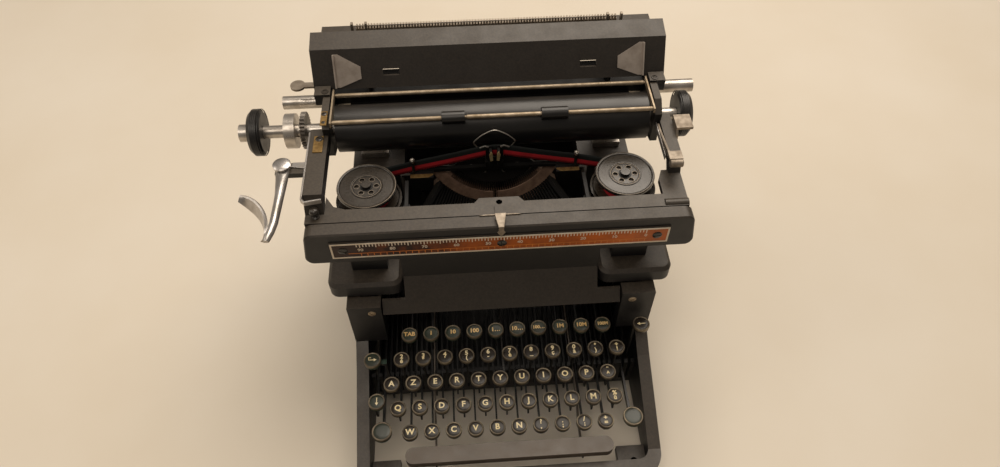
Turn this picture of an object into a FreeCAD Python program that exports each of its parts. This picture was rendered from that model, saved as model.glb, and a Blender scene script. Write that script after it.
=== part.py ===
import FreeCAD, Part
import math
import os
import Sketcher
from FreeCAD import Placement, Rotation, Vector

# Desk typewriter with a decimal tabulator. Millimetres.
# +X points to the typist's right, +Y to the back and +Z up.
# The origin is on the table, under the centre of the cast base.

doc = FreeCAD.newDocument("DeskTypewriter")
sheet = doc.addObject("Spreadsheet::Sheet", "Sizes")

# ---------------------------------------------------------------- driving sizes
# (name, value, what it is)
SIZES = [
    # base casting
    ("base_width", 266, "outside width of the cast base"),
    ("base_depth", 342, "front to back of the cast base"),
    ("base_wall", 11, "thickness of the base walls"),
    ("base_corner", 25, "outside corner radius seen from above"),
    ("inner_corner", 10, "inside corner radius seen from above"),
    ("front_bar_depth", 17, "front to back of the front bar"),
    ("front_bar_top", 37, "height of the front bar's top"),
    ("foot_height", 12, "height of the rubber feet"),
    ("foot_radius", 14, "radius of a rubber foot"),
    ("foot_inset", 22, "foot centre in from the base's outside"),
    ("foot_hole", 3, "radius of the desk screw's hole in a foot"),
    ("pad_height", 9, "thickness of the pad above a foot"),
    ("wall_knee", -24, "knee of the side wall's top, ahead of the column"),
    ("wall_knee_top", 67, "height of that knee"),
    ("window_half", 96, "half width of the window in the back wall"),
    ("window_low", 48, "low edge of the window in the back wall"),
    ("window_top", 122, "top edge of the window in the back wall"),
    ("wall_top_middle", 79, "height of the side wall where it meets the column"),
    ("column_front", 45, "column's front face, ahead of the centre"),
    ("column_width", 29, "width of the column below a shoulder"),
    ("column_depth", 12, "front to back of the column"),
    # upper casting
    ("deck_bottom", 133, "underside of the upper casting"),
    ("deck_thickness", 18, "height of the upper casting"),
    ("shoulder_half", 147, "shoulder's outside from the middle"),
    ("shoulder_front", 34, "shoulder's front, ahead of the centre"),
    ("shoulder_corner", 9, "rounding of the shoulders' corners"),
    ("deck_ridge", 3, "bevel along the shoulders' front edges"),
    ("shoulder_back", 30, "back of the wide part, behind the centre"),
    ("throat_half", 84, "half width of the throat between the shoulders"),
    ("throat_back", 90, "back of the throat, behind the centre"),
    ("sheet_metal", 2, "thickness of sheet panels"),
    ("panel_gap", 1, "gap round a sheet panel"),
    ("crease_height", 150, "height of the front panel's crease"),
    ("crease_front", 26, "front panel's crease, ahead of the centre"),
    ("panel_low_front", 45, "front panel's low edge, ahead of the centre"),
    ("panel_low", 121, "height of the front panel's low edge"),
    # front scale bar
    ("bar_front", 29.5, "scale bar's front face, ahead of the centre"),
    ("bar_depth", 12, "front to back of the scale bar"),
    ("bar_bottom", 178.5, "underside of the scale bar"),
    ("bar_height", 36, "height of the scale bar"),
    ("bar_half_top", 154, "half length of the scale bar at its top"),
    ("bar_half_bottom", 159, "half length of the scale bar at its foot"),
    ("bar_round", 7, "rounding of the scale bar's ends"),
    ("scale_half", 136, "half length of the scale plate"),
    ("scale_low", 186.5, "low edge of the scale plate"),
    ("scale_height", 19, "height of the scale plate"),
    ("scale_plate_thick", 1.5, "thickness of the scale plate"),
    ("scale_border", 2, "width of the scale plate's raised border"),
    ("front_rail_top", 202.5, "height of the front runway"),
    ("front_rail_depth", 9.5, "front to back of the front runway"),
    ("front_rail_half", 150, "half length of the front runway"),
    # rear rail
    ("rail_y", 128, "rear rail's axis, behind the centre"),
    ("rail_z", 214, "height of the rear rail's axis"),
    ("rail_radius", 6, "radius of the rear rail"),
    ("rail_half", 187, "half length of the rear rail"),
    ("rail_post_x", 112, "rail post from the middle"),
    ("rail_post_width", 26, "width of a rail post"),
    ("rail_web", 5, "thickness of a rail post's web"),
    ("running_gap", 0.05, "radial clearance of a running fit"),
    # keyboard
    ("key_pitch", 19.05, "distance between keys in a row"),
    ("key_radius", 6.9, "radius of a key top"),
    ("key_thick", 4, "height of a key top"),
    ("front_row_y", -124.4, "front letter row, from the centre"),
    ("front_row_z", 55, "height of the front letter row's tops"),
    ("row_run", 17.9, "row to row, front to back"),
    ("row_rise", 11, "row to row, upwards"),
    ("lever_thick", 1.5, "thickness of a key lever"),
    ("lever_low", 40, "underside of the key levers at rest"),
    ("lever_height", 6, "height of a key lever"),
    ("stem_depth", 4.4, "front to back of a key stem"),
    ("pivot_y", 112, "key levers' rod, behind the centre"),
    ("pivot_z", 43, "height of the key levers' rod"),
    ("pivot_radius", 3, "radius of the key levers' rod"),
    ("comb_front", 66, "comb's front face, ahead of the centre"),
    ("comb_thick", 4, "thickness of the comb"),
    ("comb_low", 20, "underside of the comb"),
    ("comb_top", 56, "top of the comb"),
    ("comb_slot", 1.9, "width of a comb slot"),
    ("comb_slot_low", 27, "floor of the comb slots"),
    ("space_half", 90, "half length of the space bar"),
    ("space_y", -143.5, "middle of the space bar, from the centre"),
    ("space_depth", 14.5, "front to back of the space bar"),
    ("space_top", 50, "height of the space bar's top"),
    ("space_thick", 8, "height of the space bar"),
    ("space_arm_x", 64.3, "space bar arm from the middle"),
    ("shift_radius", 8.6, "radius of a shift key"),
    ("shift_x", 110, "shift key from the middle"),
    ("shift_y", -122.5, "shift key, from the centre"),
    ("shift_z", 56, "height of the shift keys' tops"),
    ("lock_x", 114, "shift lock key from the middle"),
    ("lock_y", -99, "shift lock key, from the centre"),
    ("lock_z", 66, "height of the shift lock key's top"),
    ("release_x", 116, "margin release key from the middle"),
    ("release_y", -70, "margin release key, from the centre"),
    ("release_z", 88, "height of the margin release key's top"),
    ("backspace_x", 122.5, "backspace key from the middle"),
    ("backspace_y", -57, "backspace key, from the centre"),
    ("backspace_z", 102, "height of the backspace key's top"),
    ("special_radius", 7.3, "radius of a lock, release or backspace key"),
    ("special_thick", 2, "thickness of a shift, lock, release or backspace lever"),
    ("outer_lever_x", 116, "lock and backspace levers from the middle"),
    ("release_lever_x", 105, "margin release lever from the middle"),
    ("tab_middle", 3.1, "middle of the tabulator row, right of the centre"),
    ("tab_rod_y", 20, "tabulator levers' rod, behind the centre"),
    ("tab_rod_z", 72, "height of the tabulator levers' rod"),
    # type basket
    ("basket_tilt", 70, "tilt of the segment's plane, degrees from level"),
    ("typing_y", 55.5, "type bar's middle when it strikes, behind the centre"),
    ("typing_z", 220, "height of the printing point"),
    ("bar_length", 66, "type bar, pivot to type"),
    ("pivot_ring", 62, "radius of the ring of type bar pivots"),
    ("segment_inner", 47, "inside radius of the segment"),
    ("segment_outer", 71, "outside radius of the segment"),
    ("segment_thick", 9, "thickness of the segment"),
    ("segment_half_angle", 51, "half of the segment's arc, degrees"),
    ("slot_width", 1.6, "width of a segment slot"),
    ("slot_outer", 67.5, "outer end of the segment slots"),
    ("bar_step", 2.19, "angle from one type bar to the next, degrees"),
    ("bar_thick", 1.3, "thickness of a type bar"),
    ("bar_high", 3.6, "height of a type bar"),
    ("rest_lean", 97, "swing of a type bar from rest to paper, degrees"),
    ("type_depth", 4.3, "type block, face to the bar's middle"),
    ("type_long", 9, "length of a type block along the bar"),
    ("type_wide", 2.2, "width of a type block"),
    ("rest_inner", 88, "inside radius of the type rest"),
    ("rest_width", 6, "width of the type rest"),
    ("rest_axial", 46, "front of the type rest, ahead of the segment's middle"),
    ("rest_thick", 6, "thickness of the type rest"),
    ("rest_arm", 3, "thickness of the type rest's arms"),
    ("slide_x", 77, "basket slide from the middle"),
    ("slide_y", 20, "basket slide, behind the centre"),
    ("slide_low", 152, "underside of a basket sleeve"),
    ("slide_rod", 3, "radius of a basket slide rod"),
    ("link_y", 48, "type links' foot, behind the centre"),
    ("bridge_half", 90, "half length of the type guide's bridge"),
    ("bridge_y", 58.5, "bridge's front, behind the centre"),
    ("bridge_low", 187.5, "underside of the bridge"),
    ("bridge_high", 3, "height of the bridge"),
    ("web_inner", 25, "inside radius of the plate inside the segment"),
    ("web_hole", 2.2, "radius of the holes in that plate"),
    ("web_hole_ring", 37, "ring radius of those holes"),
    # ribbon
    ("spool_x", 109, "ribbon spool from the middle"),
    ("spool_y", 29, "ribbon spool, behind the centre"),
    ("spool_top", 205, "height of the spool's top face"),
    ("spool_radius", 25, "radius of a spool flange"),
    ("spool_flange", 1.6, "thickness of a spool flange"),
    ("dog_radius", 2.2, "radius of the driving holes in a spool's top"),
    ("dog_ring", 8.3, "ring radius of those holes"),
    ("ribbon_width", 13, "width of the ribbon"),
    ("ribbon_thick", 0.3, "thickness of the ribbon"),
    ("wound_radius", 17, "radius of the wound ribbon"),
    ("cup_wall", 1.5, "wall of a spool cup"),
    ("cup_gap", 1.5, "gap between spool and cup"),
    ("post_x", 71, "ribbon post from the middle"),
    ("post_y", 56, "ribbon post, behind the centre"),
    ("ribbon_y", 60.4, "ribbon at the printing point, behind the centre"),
    ("ribbon_lift", 12.6, "rise of the ribbon from the spools to the printing point"),
    ("spool_pin", 4, "radius of a spool's pin"),
    ("cup_stem", 9, "radius of a spool cup's pedestal"),
    ("post_radius", 1.3, "radius of a ribbon post"),
    # carriage
    ("platen_y", 82, "platen's axis, behind the centre"),
    ("platen_z", 222, "height of the platen's axis"),
    ("platen_radius", 20, "radius of the platen"),
    ("platen_half", 133, "half length of the platen"),
    ("shaft_radius", 5.5, "radius of the platen shaft"),
    ("shaft_left", 207, "left end of the platen shaft from the middle"),
    ("shaft_right", 171, "right end of the platen shaft from the middle"),
    ("knob_radius", 20, "radius of a platen knob"),
    ("knob_thick", 11, "thickness of a platen knob"),
    ("knob_bevel", 3, "bevel round a platen knob's rims"),
    ("plate_inner", 137, "inside of an end plate from the middle"),
    ("plate_thick", 6, "thickness of an end plate"),
    ("rail_room", 2.5, "room between an end plate and the rear rail"),
    ("plate_top", 245.5, "top of an end plate"),
    ("nut_block_out", 150.5, "outside of the bail's nut block from the middle"),
    ("left_arm_out", 154, "outside of the left arm from the middle"),
    ("right_arm_out", 152, "outside of the right arm from the middle"),
    ("arm_low", 219, "underside of the carriage arms"),
    ("arm_top", 230, "top of the carriage arms"),
    ("front_bar_low", 210, "underside of the carriage's front bar"),
    ("front_bar_high", 215, "top of the carriage's front bar"),
    ("cross_front", 17, "carriage front bar's front, ahead of the centre"),
    ("cross_depth", 13, "front to back of the carriage front bar"),
    ("corner_flare", 14, "flare from the carriage front bar into the left arm"),
    ("corner_plate_back", 22, "back of the right corner plate, behind the centre"),
    ("bead_radius", 4, "radius of the bead along the right corner plate"),
    ("rear_bar_low", 224, "underside of the carriage's rear bar"),
    ("rear_bar_high", 232, "top of the carriage's rear bar"),
    ("rear_bar_front", 112, "front of the rear bar, behind the centre"),
    ("rear_bar_back", 147, "back of the rear bar, behind the centre"),
    ("shoe_x", 62, "sliding shoe from the middle"),
    ("shoe_length", 24, "length of a sliding shoe"),
    ("rack_half", 124, "half length of the toothed racks"),
    ("rack_pitch", 2.54, "one letter space"),
    ("bail_y", 104, "bail's pivot rod, behind the centre"),
    ("bail_z", 240, "height of the bail's pivot rod"),
    ("paper_rod_y", 66.8, "bail's paper rod, behind the centre"),
    ("paper_rod_z", 243, "height of the bail's paper rod"),
    ("bail_rod", 1.25, "radius of the bail's rods"),
    ("bail_half", 134.4, "half length of the bail's rods"),
    ("bail_roller", 5.4, "radius of a bail roller"),
    ("table_half", 152, "half width of the paper table"),
    ("table_low_y", 109, "paper table's low edge, behind the centre"),
    ("table_low_z", 243, "height of the paper table's low edge"),
    ("table_fold_y", 124.5, "paper table's fold, behind the centre"),
    ("table_fold_z", 273, "height of the paper table's fold"),
    ("table_top_y", 143, "paper table's top edge, behind the centre"),
    ("table_top_z", 277.5, "height of the paper table's top edge"),
    ("guide_slot_x", 78, "inner end of a paper guide's slot, from the middle"),
    ("guide_slot_length", 14, "length of a paper guide's slot"),
    ("guide_out", 133, "outer edge of a paper guide from the middle"),
    ("guide_width", 22.5, "width of a paper guide"),
    ("guide_length", 28, "length of a paper guide up the paper table"),
    ("guide_lip", 4.5, "height of a paper guide's upright edge"),
    ("housing_half", 147, "half length of the rear housing"),
    ("housing_front", 159, "rear housing's front, behind the centre"),
    ("housing_depth", 15, "front to back of the rear housing"),
    ("housing_low", 246, "underside of the rear housing"),
    ("housing_top", 263, "top of the rear housing"),
    ("stay_x", 104, "paper table stay from the middle"),
    ("margin_rail_half", 134, "half length of the margin rail"),
    ("roller_radius", 3.5, "radius of the carriage's front roller"),
    ("roller_z", 206.1, "height of the front roller's axis"),
    ("roller_pin", 1.5, "radius of the front roller's pin"),
    ("rack_low", 219, "root of the escapement rack's teeth"),
    ("drum_x", 70, "mainspring drum from the middle"),
    ("drum_inset", 21, "mainspring drum's front, in from the back of the casting"),
    ("drum_z", 180, "height of the mainspring drum's axis"),
    ("drum_radius", 26, "radius of the mainspring drum"),
    ("ratchet_x", 163, "ratchet wheel from the middle"),
    ("ratchet_radius", 16, "radius of the ratchet wheel"),
    ("lever_low_z", 215.6, "underside of the return lever's paddle"),
    ("lever_pivot_x", 173.5, "return lever's pivot from the middle"),
    ("lever_pivot_y", 33, "return lever's pivot, behind the centre"),
    ("lever_head", 6.5, "radius of the return lever's headed pin"),
    ("paddle_high", 11, "height of the return lever's paddle"),
    ("paddle_radius", 45, "outside radius of the return lever's curved paddle"),
    ("paddle_thick", 2.4, "thickness of the return lever's paddle"),
    ("paddle_half_angle", 35.5, "half of the arc of the return lever's paddle, degrees"),
    ("paddle_turn", 120, "turn of the paddle from facing the front, degrees"),
    ("paddle_left", 48.5, "centre of the paddle's arc, left of the lever's pivot"),
    ("paddle_ahead", 66.5, "centre of the paddle's arc, ahead of the lever's pivot"),
    ("small_pin", 1.5, "radius of the small levers' pins"),
    ("thumb_radius", 6.5, "radius of the line space selector's thumb piece"),
    ("carriage_pin_y", 50, "carriage release's pivot, behind the centre"),
    ("carriage_pin_z", 225, "height of the carriage release's pivot"),
    ("paper_pin_y", 60, "paper release's pivot, behind the centre"),
    ("paper_pin_z", 225, "height of the paper release's pivot"),
    ("selector_pin_y", 114, "line space selector's pivot, behind the centre"),
    ("selector_pin_z", 227, "height of the line space selector's pivot"),
]


class Size:
    """A number that carries the spreadsheet formula it comes from."""

    def __init__(self, value, formula):
        self.value = float(value)
        self.formula = formula

    def __float__(self):
        return self.value

    def __add__(self, other):
        other = as_size(other)
        return Size(self.value + other.value, f"({self.formula} + {other.formula})")

    def __sub__(self, other):
        other = as_size(other)
        return Size(self.value - other.value, f"({self.formula} - {other.formula})")

    def __mul__(self, other):
        other = as_size(other)
        return Size(self.value * other.value, f"({self.formula} * {other.formula})")

    def __truediv__(self, other):
        other = as_size(other)
        return Size(self.value / other.value, f"({self.formula} / {other.formula})")

    def __neg__(self):
        return Size(-self.value, f"(0 - {self.formula})")

    def __radd__(self, other):
        return as_size(other) + self

    def __rsub__(self, other):
        return as_size(other) - self

    def __rmul__(self, other):
        return as_size(other) * self


def as_size(number):
    return number if isinstance(number, Size) else Size(number, repr(float(number)))


def sine(angle):
    return Size(math.sin(math.radians(angle.value)), f"sin({angle.formula})")


def cosine(angle):
    return Size(math.cos(math.radians(angle.value)), f"cos({angle.formula})")


class Names:
    """The driving sizes by name, such as S.base_width."""


S = Names()
for line, (alias, number, meaning) in enumerate(SIZES, start=1):
    sheet.set(f"A{line}", meaning)
    sheet.set(f"B{line}", str(number))
    sheet.setAlias(f"B{line}", alias)
    setattr(S, alias, Size(number, f"Sizes.{alias}"))
doc.recompute()

# ---------------------------------------------------------------- helpers
NODES = []


def bind(thing, **values):
    """Tie properties to the sheet. A double underscore stands for a dot."""
    for name, value in values.items():
        thing.setExpression(name.replace("__", "."), as_size(value).formula)


def put(thing, x=0, y=0, z=0):
    bind(thing, Placement__Base__x=x, Placement__Base__y=y, Placement__Base__z=z)


def node(thing, label):
    thing.Label = label
    NODES.append(thing)
    return thing


def loose_body(name):
    """A body that becomes a piece of a larger sub-part."""
    body = doc.addObject("PartDesign::Body", "Body_" + name)
    body.Label = name
    return body


def new_body(label):
    return node(loose_body(label), label)


def origin_part(body, role):
    return [item for item in body.Origin.OriginFeatures if item.Role == role][0]


def sketch_on(body, plane, shift=0):
    """A sketch on one of the body's own planes. XY shifts up, XZ to the front, YZ to the right."""
    sketch = body.newObject("Sketcher::SketchObject", body.Label + "_sketch")
    sketch.AttachmentSupport = (origin_part(body, plane + "_Plane"), [""])
    sketch.MapMode = "FlatFace"
    bind(sketch, AttachmentOffset__Base__z=shift)
    return sketch


def hold(sketch, geometry, point, u, v):
    """Fix a point of the sketch at two sizes from the sketch's origin."""
    for kind, size in (("DistanceX", as_size(u)), ("DistanceY", as_size(v))):
        rule = Sketcher.Constraint(kind, -1, 1, geometry, point, size.value)
        number = sketch.addConstraint(rule)
        sketch.setExpression(f"Constraints[{number}]", size.formula)


def outline(sketch, corners):
    """A closed outline of straight sides through the given corners."""
    first = sketch.GeometryCount
    count = len(corners)
    flat = [Vector(float(u), float(v), 0) for u, v in corners]
    for i in range(count):
        sketch.addGeometry(Part.LineSegment(flat[i], flat[(i + 1) % count]))
    for i in range(count):
        joint = Sketcher.Constraint("Coincident", first + i, 2, first + (i + 1) % count, 1)
        sketch.addConstraint(joint)
    for i, (u, v) in enumerate(corners):
        hold(sketch, first + i, 1, u, v)


def rectangle(sketch, u0, u1, v0, v1):
    outline(sketch, [(u0, v0), (u1, v0), (u1, v1), (u0, v1)])


def circle(sketch, u, v, radius):
    radius = as_size(radius)
    centre = Vector(float(u), float(v), 0)
    number = sketch.addGeometry(Part.Circle(centre, Vector(0, 0, 1), radius.value))
    hold(sketch, number, 3, u, v)
    rule = sketch.addConstraint(Sketcher.Constraint("Radius", number, radius.value))
    sketch.setExpression(f"Constraints[{rule}]", radius.formula)


def pad(body, sketch, length, both_ways=False, backwards=False):
    feature = body.newObject("PartDesign::Pad", body.Label + "_pad")
    feature.Profile = sketch
    if both_ways:
        feature.SideType = "Symmetric"
    feature.Reversed = backwards
    bind(feature, Length=length)
    return feature


def pocket(body, sketch, length=None, both_ways=False, backwards=False):
    """A cut. Without a length it goes right through, both ways."""
    feature = body.newObject("PartDesign::Pocket", body.Label + "_pocket")
    feature.Profile = sketch
    feature.Reversed = backwards
    if length is None:
        feature.Type = "ThroughAll"
        feature.SideType = "Symmetric"
    else:
        if both_ways:
            feature.SideType = "Symmetric"
        bind(feature, Length=length)
    return feature


def turned(body, sketch):
    """A full turn of a sketch about its own level axis."""
    feature = body.newObject("PartDesign::Revolution", body.Label + "_turn")
    feature.Profile = sketch
    feature.ReferenceAxis = (sketch, ["H_Axis"])
    feature.Angle = 360
    return feature


def mirrored(body, features, plane="YZ"):
    feature = body.newObject("PartDesign::Mirrored", body.Label + "_mirror")
    feature.Originals = features
    feature.MirrorPlane = (origin_part(body, plane + "_Plane"), [""])
    body.Tip = feature
    return feature


def in_line(body, features, axis, step, count):
    """Copies of the features at equal steps along an axis."""
    feature = body.newObject("PartDesign::LinearPattern", body.Label + "_line")
    feature.Originals = features
    feature.Direction = (origin_part(body, axis + "_Axis"), [""])
    feature.Occurrences = count
    bind(feature, Length=step * (count - 1))
    body.Tip = feature
    return feature


def round_about(body, features, angle, count, backwards=False):
    """Copies of the features at equal angles about the body's Z axis."""
    feature = body.newObject("PartDesign::PolarPattern", body.Label + "_ring")
    feature.Originals = features
    feature.Axis = (origin_part(body, "Z_Axis"), [""])
    feature.Reversed = backwards
    feature.Occurrences = count
    bind(feature, Angle=angle)
    body.Tip = feature
    return feature


def edges_where(shape, wanted):
    return [f"Edge{i}" for i, edge in enumerate(shape.Edges, start=1) if wanted(edge)]


def ends(edge):
    return edge.Vertexes[0].Point, edge.Vertexes[-1].Point


def along(edge, direction):
    """True for a straight edge that lies along the given direction."""
    if len(edge.Vertexes) < 2 or not isinstance(edge.Curve, Part.Line):
        return False
    start, end = ends(edge)
    return (end - start).normalize().cross(direction).Length < 1e-6


def fillet(body, wanted, radius):
    """Round the edges of the body so far that pass the test."""
    doc.recompute()
    base = body.Tip
    feature = body.newObject("PartDesign::Fillet", body.Label + "_fillet")
    feature.Base = (base, edges_where(base.Shape, wanted))
    bind(feature, Radius=radius)
    return feature


def chamfer(body, wanted, size):
    """Break the edges of the body so far that pass the test."""
    doc.recompute()
    base = body.Tip
    feature = body.newObject("PartDesign::Chamfer", body.Label + "_chamfer")
    feature.Base = (base, edges_where(base.Shape, wanted))
    bind(feature, Size=size)
    return feature


def box(x0, x1, y0, y1, z0, z1):
    """A block between two places on each axis."""
    block = doc.addObject("Part::Box", "Block")
    bind(block, Length=as_size(x1) - x0, Width=as_size(y1) - y0, Height=as_size(z1) - z0)
    put(block, x0, y0, z0)
    return block


AXIS_TURN = {
    "X": Rotation(Vector(0, 1, 0), 90),
    "Y": Rotation(Vector(1, 0, 0), -90),
    "Z": Rotation(),
}


def cylinder(axis, radius, start, end, a, b):
    """A round bar along an axis, between two places on it, at a and b on the other two axes."""
    bar = doc.addObject("Part::Cylinder", "Round")
    bar.Placement = Placement(Vector(), AXIS_TURN[axis])
    bind(bar, Radius=radius, Height=as_size(end) - start)
    places = {"X": (start, a, b), "Y": (a, start, b), "Z": (a, b, start)}
    put(bar, *places[axis])
    return bar


def fused(shapes, label):
    whole = doc.addObject("Part::MultiFuse", "Fused_" + label)
    whole.Shapes = shapes
    return whole


def cut(base, tool, label):
    rest = doc.addObject("Part::Cut", "Cut_" + label)
    rest.Base = base
    rest.Tool = tool
    return rest


def plain(shape, label):
    """A sub-part whose form is worked out with Part's own functions."""
    feature = doc.addObject("Part::Feature", "Plain_" + label)
    feature.Shape = shape
    return node(feature, label)


X_WAY = Vector(1, 0, 0)
Y_WAY = Vector(0, 1, 0)
Z_WAY = Vector(0, 0, 1)

base_half = S.base_width / 2
base_back = S.base_depth / 2
base_front = -base_back
wall_inside = base_half - S.base_wall
deck_top = S.deck_bottom + S.deck_thickness


# ---------------------------------------------------------------- base casting
def make_base_frame():
    """A cast ring, full height behind and cut down to a low rim round the keyboard."""
    body = new_body("base_frame")
    ring = sketch_on(body, "XY", S.foot_height)
    rectangle(ring, -base_half, base_half, base_front, base_back)
    rim = S.front_bar_depth
    rectangle(ring, -wall_inside, wall_inside, base_front + rim, base_back - rim)
    pad(body, ring, S.deck_bottom - S.foot_height)

    def outer_corner(edge):
        return along(edge, Z_WAY) and abs(ends(edge)[0].x) > base_half.value - 1

    def inner_corner(edge):
        return along(edge, Z_WAY) and abs(ends(edge)[0].x) < base_half.value - 1

    fillet(body, outer_corner, S.base_corner)
    fillet(body, inner_corner, S.inner_corner)

    front = sketch_on(body, "YZ")
    outline(front, [
        (base_front - 5, S.front_bar_top), (base_front + S.base_corner, S.front_bar_top),
        (S.wall_knee - S.column_front, S.wall_knee_top), (-S.column_front, S.wall_top_middle),
        (-S.column_front, S.deck_bottom + 5), (base_front - 5, S.deck_bottom + 5),
    ])
    pocket(body, front)

    column = sketch_on(body, "XZ", S.column_front - S.column_depth)
    rectangle(column, base_half - S.column_width, base_half, S.wall_top_middle, S.deck_bottom)
    face = pad(body, column, S.column_depth)
    mirrored(body, [face])

    window = sketch_on(body, "XZ", rim - base_back - 1)
    rectangle(window, -S.window_half, S.window_half, S.window_low, S.window_top)
    pocket(body, window, rim + 2)

    foot_x = base_half - S.foot_inset
    foot_y = base_back - S.foot_inset
    reach = S.foot_radius
    pads = sketch_on(body, "XY", S.foot_height)
    for side in (-1, 1):
        for end in (-1, 1):
            rectangle(pads, side * foot_x - reach, side * foot_x + reach,
                      end * foot_y - reach, end * foot_y + reach)
    pad(body, pads, S.pad_height)
    holes = sketch_on(body, "XY", S.foot_height)
    for side in (-1, 1):
        for end in (-1, 1):
            circle(holes, side * foot_x, end * foot_y, S.foot_hole)
    pocket(body, holes, S.pad_height, backwards=True)


def make_feet():
    body = new_body("rubber_feet")
    face = sketch_on(body, "XY")
    for side in (-1, 1):
        for end in (-1, 1):
            x = side * (base_half - S.foot_inset)
            y = end * (base_back - S.foot_inset)
            circle(face, x, y, S.foot_radius)
            circle(face, x, y, S.foot_hole)
    pad(body, face, S.foot_height)


def make_top_deck():
    """The upper casting: two shoulders in front, a narrower frame behind, open in the middle."""
    body = new_body("top_deck")
    plan = sketch_on(body, "XY", S.deck_bottom)
    outline(plan, [
        (-S.shoulder_half, -S.shoulder_front), (-S.throat_half, -S.shoulder_front),
        (-S.throat_half, S.throat_back), (S.throat_half, S.throat_back),
        (S.throat_half, -S.shoulder_front), (S.shoulder_half, -S.shoulder_front),
        (S.shoulder_half, S.shoulder_back), (base_half, S.shoulder_back + 14),
        (base_half, base_back), (-base_half, base_back),
        (-base_half, S.shoulder_back + 14), (-S.shoulder_half, S.shoulder_back),
    ])
    pad(body, plan, S.deck_thickness)

    opening = sketch_on(body, "XY", S.deck_bottom)
    rectangle(opening, -S.throat_half, S.throat_half,
              S.throat_back + S.base_wall, base_back - S.base_wall)
    pocket(body, opening, S.deck_thickness, backwards=True)

    def front_corner(edge):
        return along(edge, Z_WAY) and ends(edge)[0].y < S.shoulder_back.value + 1

    def rear_corner(edge):
        return along(edge, Z_WAY) and ends(edge)[0].y > base_back.value - 1

    def front_ridge(edge):
        start, end = ends(edge)
        at_front = start.y < -S.shoulder_front.value + 0.5 and end.y < -S.shoulder_front.value + 0.5
        return along(edge, X_WAY) and at_front

    fillet(body, front_corner, S.shoulder_corner)
    fillet(body, rear_corner, S.base_corner)
    chamfer(body, front_ridge, S.deck_ridge)


def make_front_panel():
    """A folded sheet that closes the throat above the keys."""
    body = new_body("front_panel")
    fold = sketch_on(body, "YZ")
    lean_y = S.sheet_metal * 0.84
    lean_z = S.sheet_metal * 0.54
    outline(fold, [
        (-S.crease_front, S.bar_bottom - S.panel_gap),
        (-S.crease_front, S.crease_height),
        (-S.panel_low_front, S.panel_low),
        (lean_y - S.panel_low_front, S.panel_low - lean_z),
        (S.sheet_metal - S.crease_front, S.crease_height - 0.5),
        (S.sheet_metal - S.crease_front, S.bar_bottom - S.panel_gap),
    ])
    pad(body, fold, 2 * (S.throat_half - S.panel_gap), both_ways=True)

    apron_top = S.deck_bottom - S.panel_gap
    share = (S.crease_height - apron_top) / (S.crease_height - S.panel_low)
    apron_front = S.crease_front + share * (S.panel_low_front - S.crease_front)
    apron = sketch_on(body, "YZ")
    outline(apron, [
        (-apron_front, apron_top), (-S.panel_low_front, S.panel_low),
        (lean_y - S.panel_low_front, S.panel_low - lean_z),
        (S.sheet_metal * 1.19 - apron_front, apron_top),
    ])
    pad(body, apron, 2 * (base_half - S.column_width - S.panel_gap), both_ways=True)


def make_back_panel():
    """A louvred plate inside the back window."""
    body = new_body("back_panel")
    inside = S.front_bar_depth - base_back
    plate = sketch_on(body, "XZ", inside)
    rectangle(plate, -S.window_half - 8, S.window_half + 8, S.window_low - 6, S.window_top + 6)
    pad(body, plate, S.sheet_metal)
    slot = sketch_on(body, "XZ", inside - 1)
    rectangle(slot, 20 - S.window_half, S.window_half - 20, S.window_low + 8, S.window_low + 13)
    louvre = pocket(body, slot, S.sheet_metal + 2, backwards=True)
    in_line(body, [louvre], "Z", 14, 4)


# ---------------------------------------------------------------- front scale bar
def make_scale_bar():
    body = new_body("scale_bar")
    face = sketch_on(body, "XZ", S.bar_front - S.bar_depth)
    top = S.bar_bottom + S.bar_height
    outline(face, [
        (-S.bar_half_bottom, S.bar_bottom), (S.bar_half_bottom, S.bar_bottom),
        (S.bar_half_top, top), (-S.bar_half_top, top),
    ])
    pad(body, face, S.bar_depth)

    def end_corner(edge):
        return along(edge, Y_WAY)

    def front_top(edge):
        start, end = ends(edge)
        return (along(edge, X_WAY) and min(start.z, end.z) > top.value - 0.5
                and start.y < 0.5 - S.bar_front.value)

    fillet(body, end_corner, S.bar_round)
    chamfer(body, front_top, 1.2)

    runway = sketch_on(body, "XZ", S.bar_front - S.bar_depth)
    rectangle(runway, -S.front_rail_half, S.front_rail_half,
              S.front_rail_top - 7, S.front_rail_top)
    pad(body, runway, S.front_rail_depth, backwards=True)
    legs = sketch_on(body, "XZ", S.bar_front - S.bar_depth)
    rectangle(legs, 96, 126, deck_top, S.front_rail_top - 6)
    leg = pad(body, legs, S.front_rail_depth, backwards=True)
    mirrored(body, [leg])


def make_scale_plate():
    body = new_body("scale_plate")
    face = sketch_on(body, "XZ", S.bar_front)
    high = S.scale_low + S.scale_height
    rectangle(face, -S.scale_half, S.scale_half, S.scale_low, high)
    pad(body, face, S.scale_plate_thick)
    strip = sketch_on(body, "XZ", S.bar_front + S.scale_plate_thick - 0.6)
    edge = S.scale_border
    rectangle(strip, edge - S.scale_half, S.scale_half - edge, S.scale_low + edge, high - edge)
    pocket(body, strip, 0.6, backwards=True)


# ---------------------------------------------------------------- rear rail
def make_rear_rail():
    bar = cylinder("X", S.rail_radius, -S.rail_half, S.rail_half, S.rail_y, S.rail_z)
    parts = [bar]
    for side in (-1, 1):
        x0 = side * S.rail_post_x - S.rail_post_width / 2
        x1 = side * S.rail_post_x + S.rail_post_width / 2
        web = S.rail_web / 2
        parts.append(box(x0, x1, S.rail_y - web, S.rail_y + web, deck_top, S.rail_z))
        parts.append(box(x0, x1, S.rail_y - 12, S.rail_y + 12, deck_top, deck_top + 6))
    node(fused(parts, "rear_rail"), "rear_rail")


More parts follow.
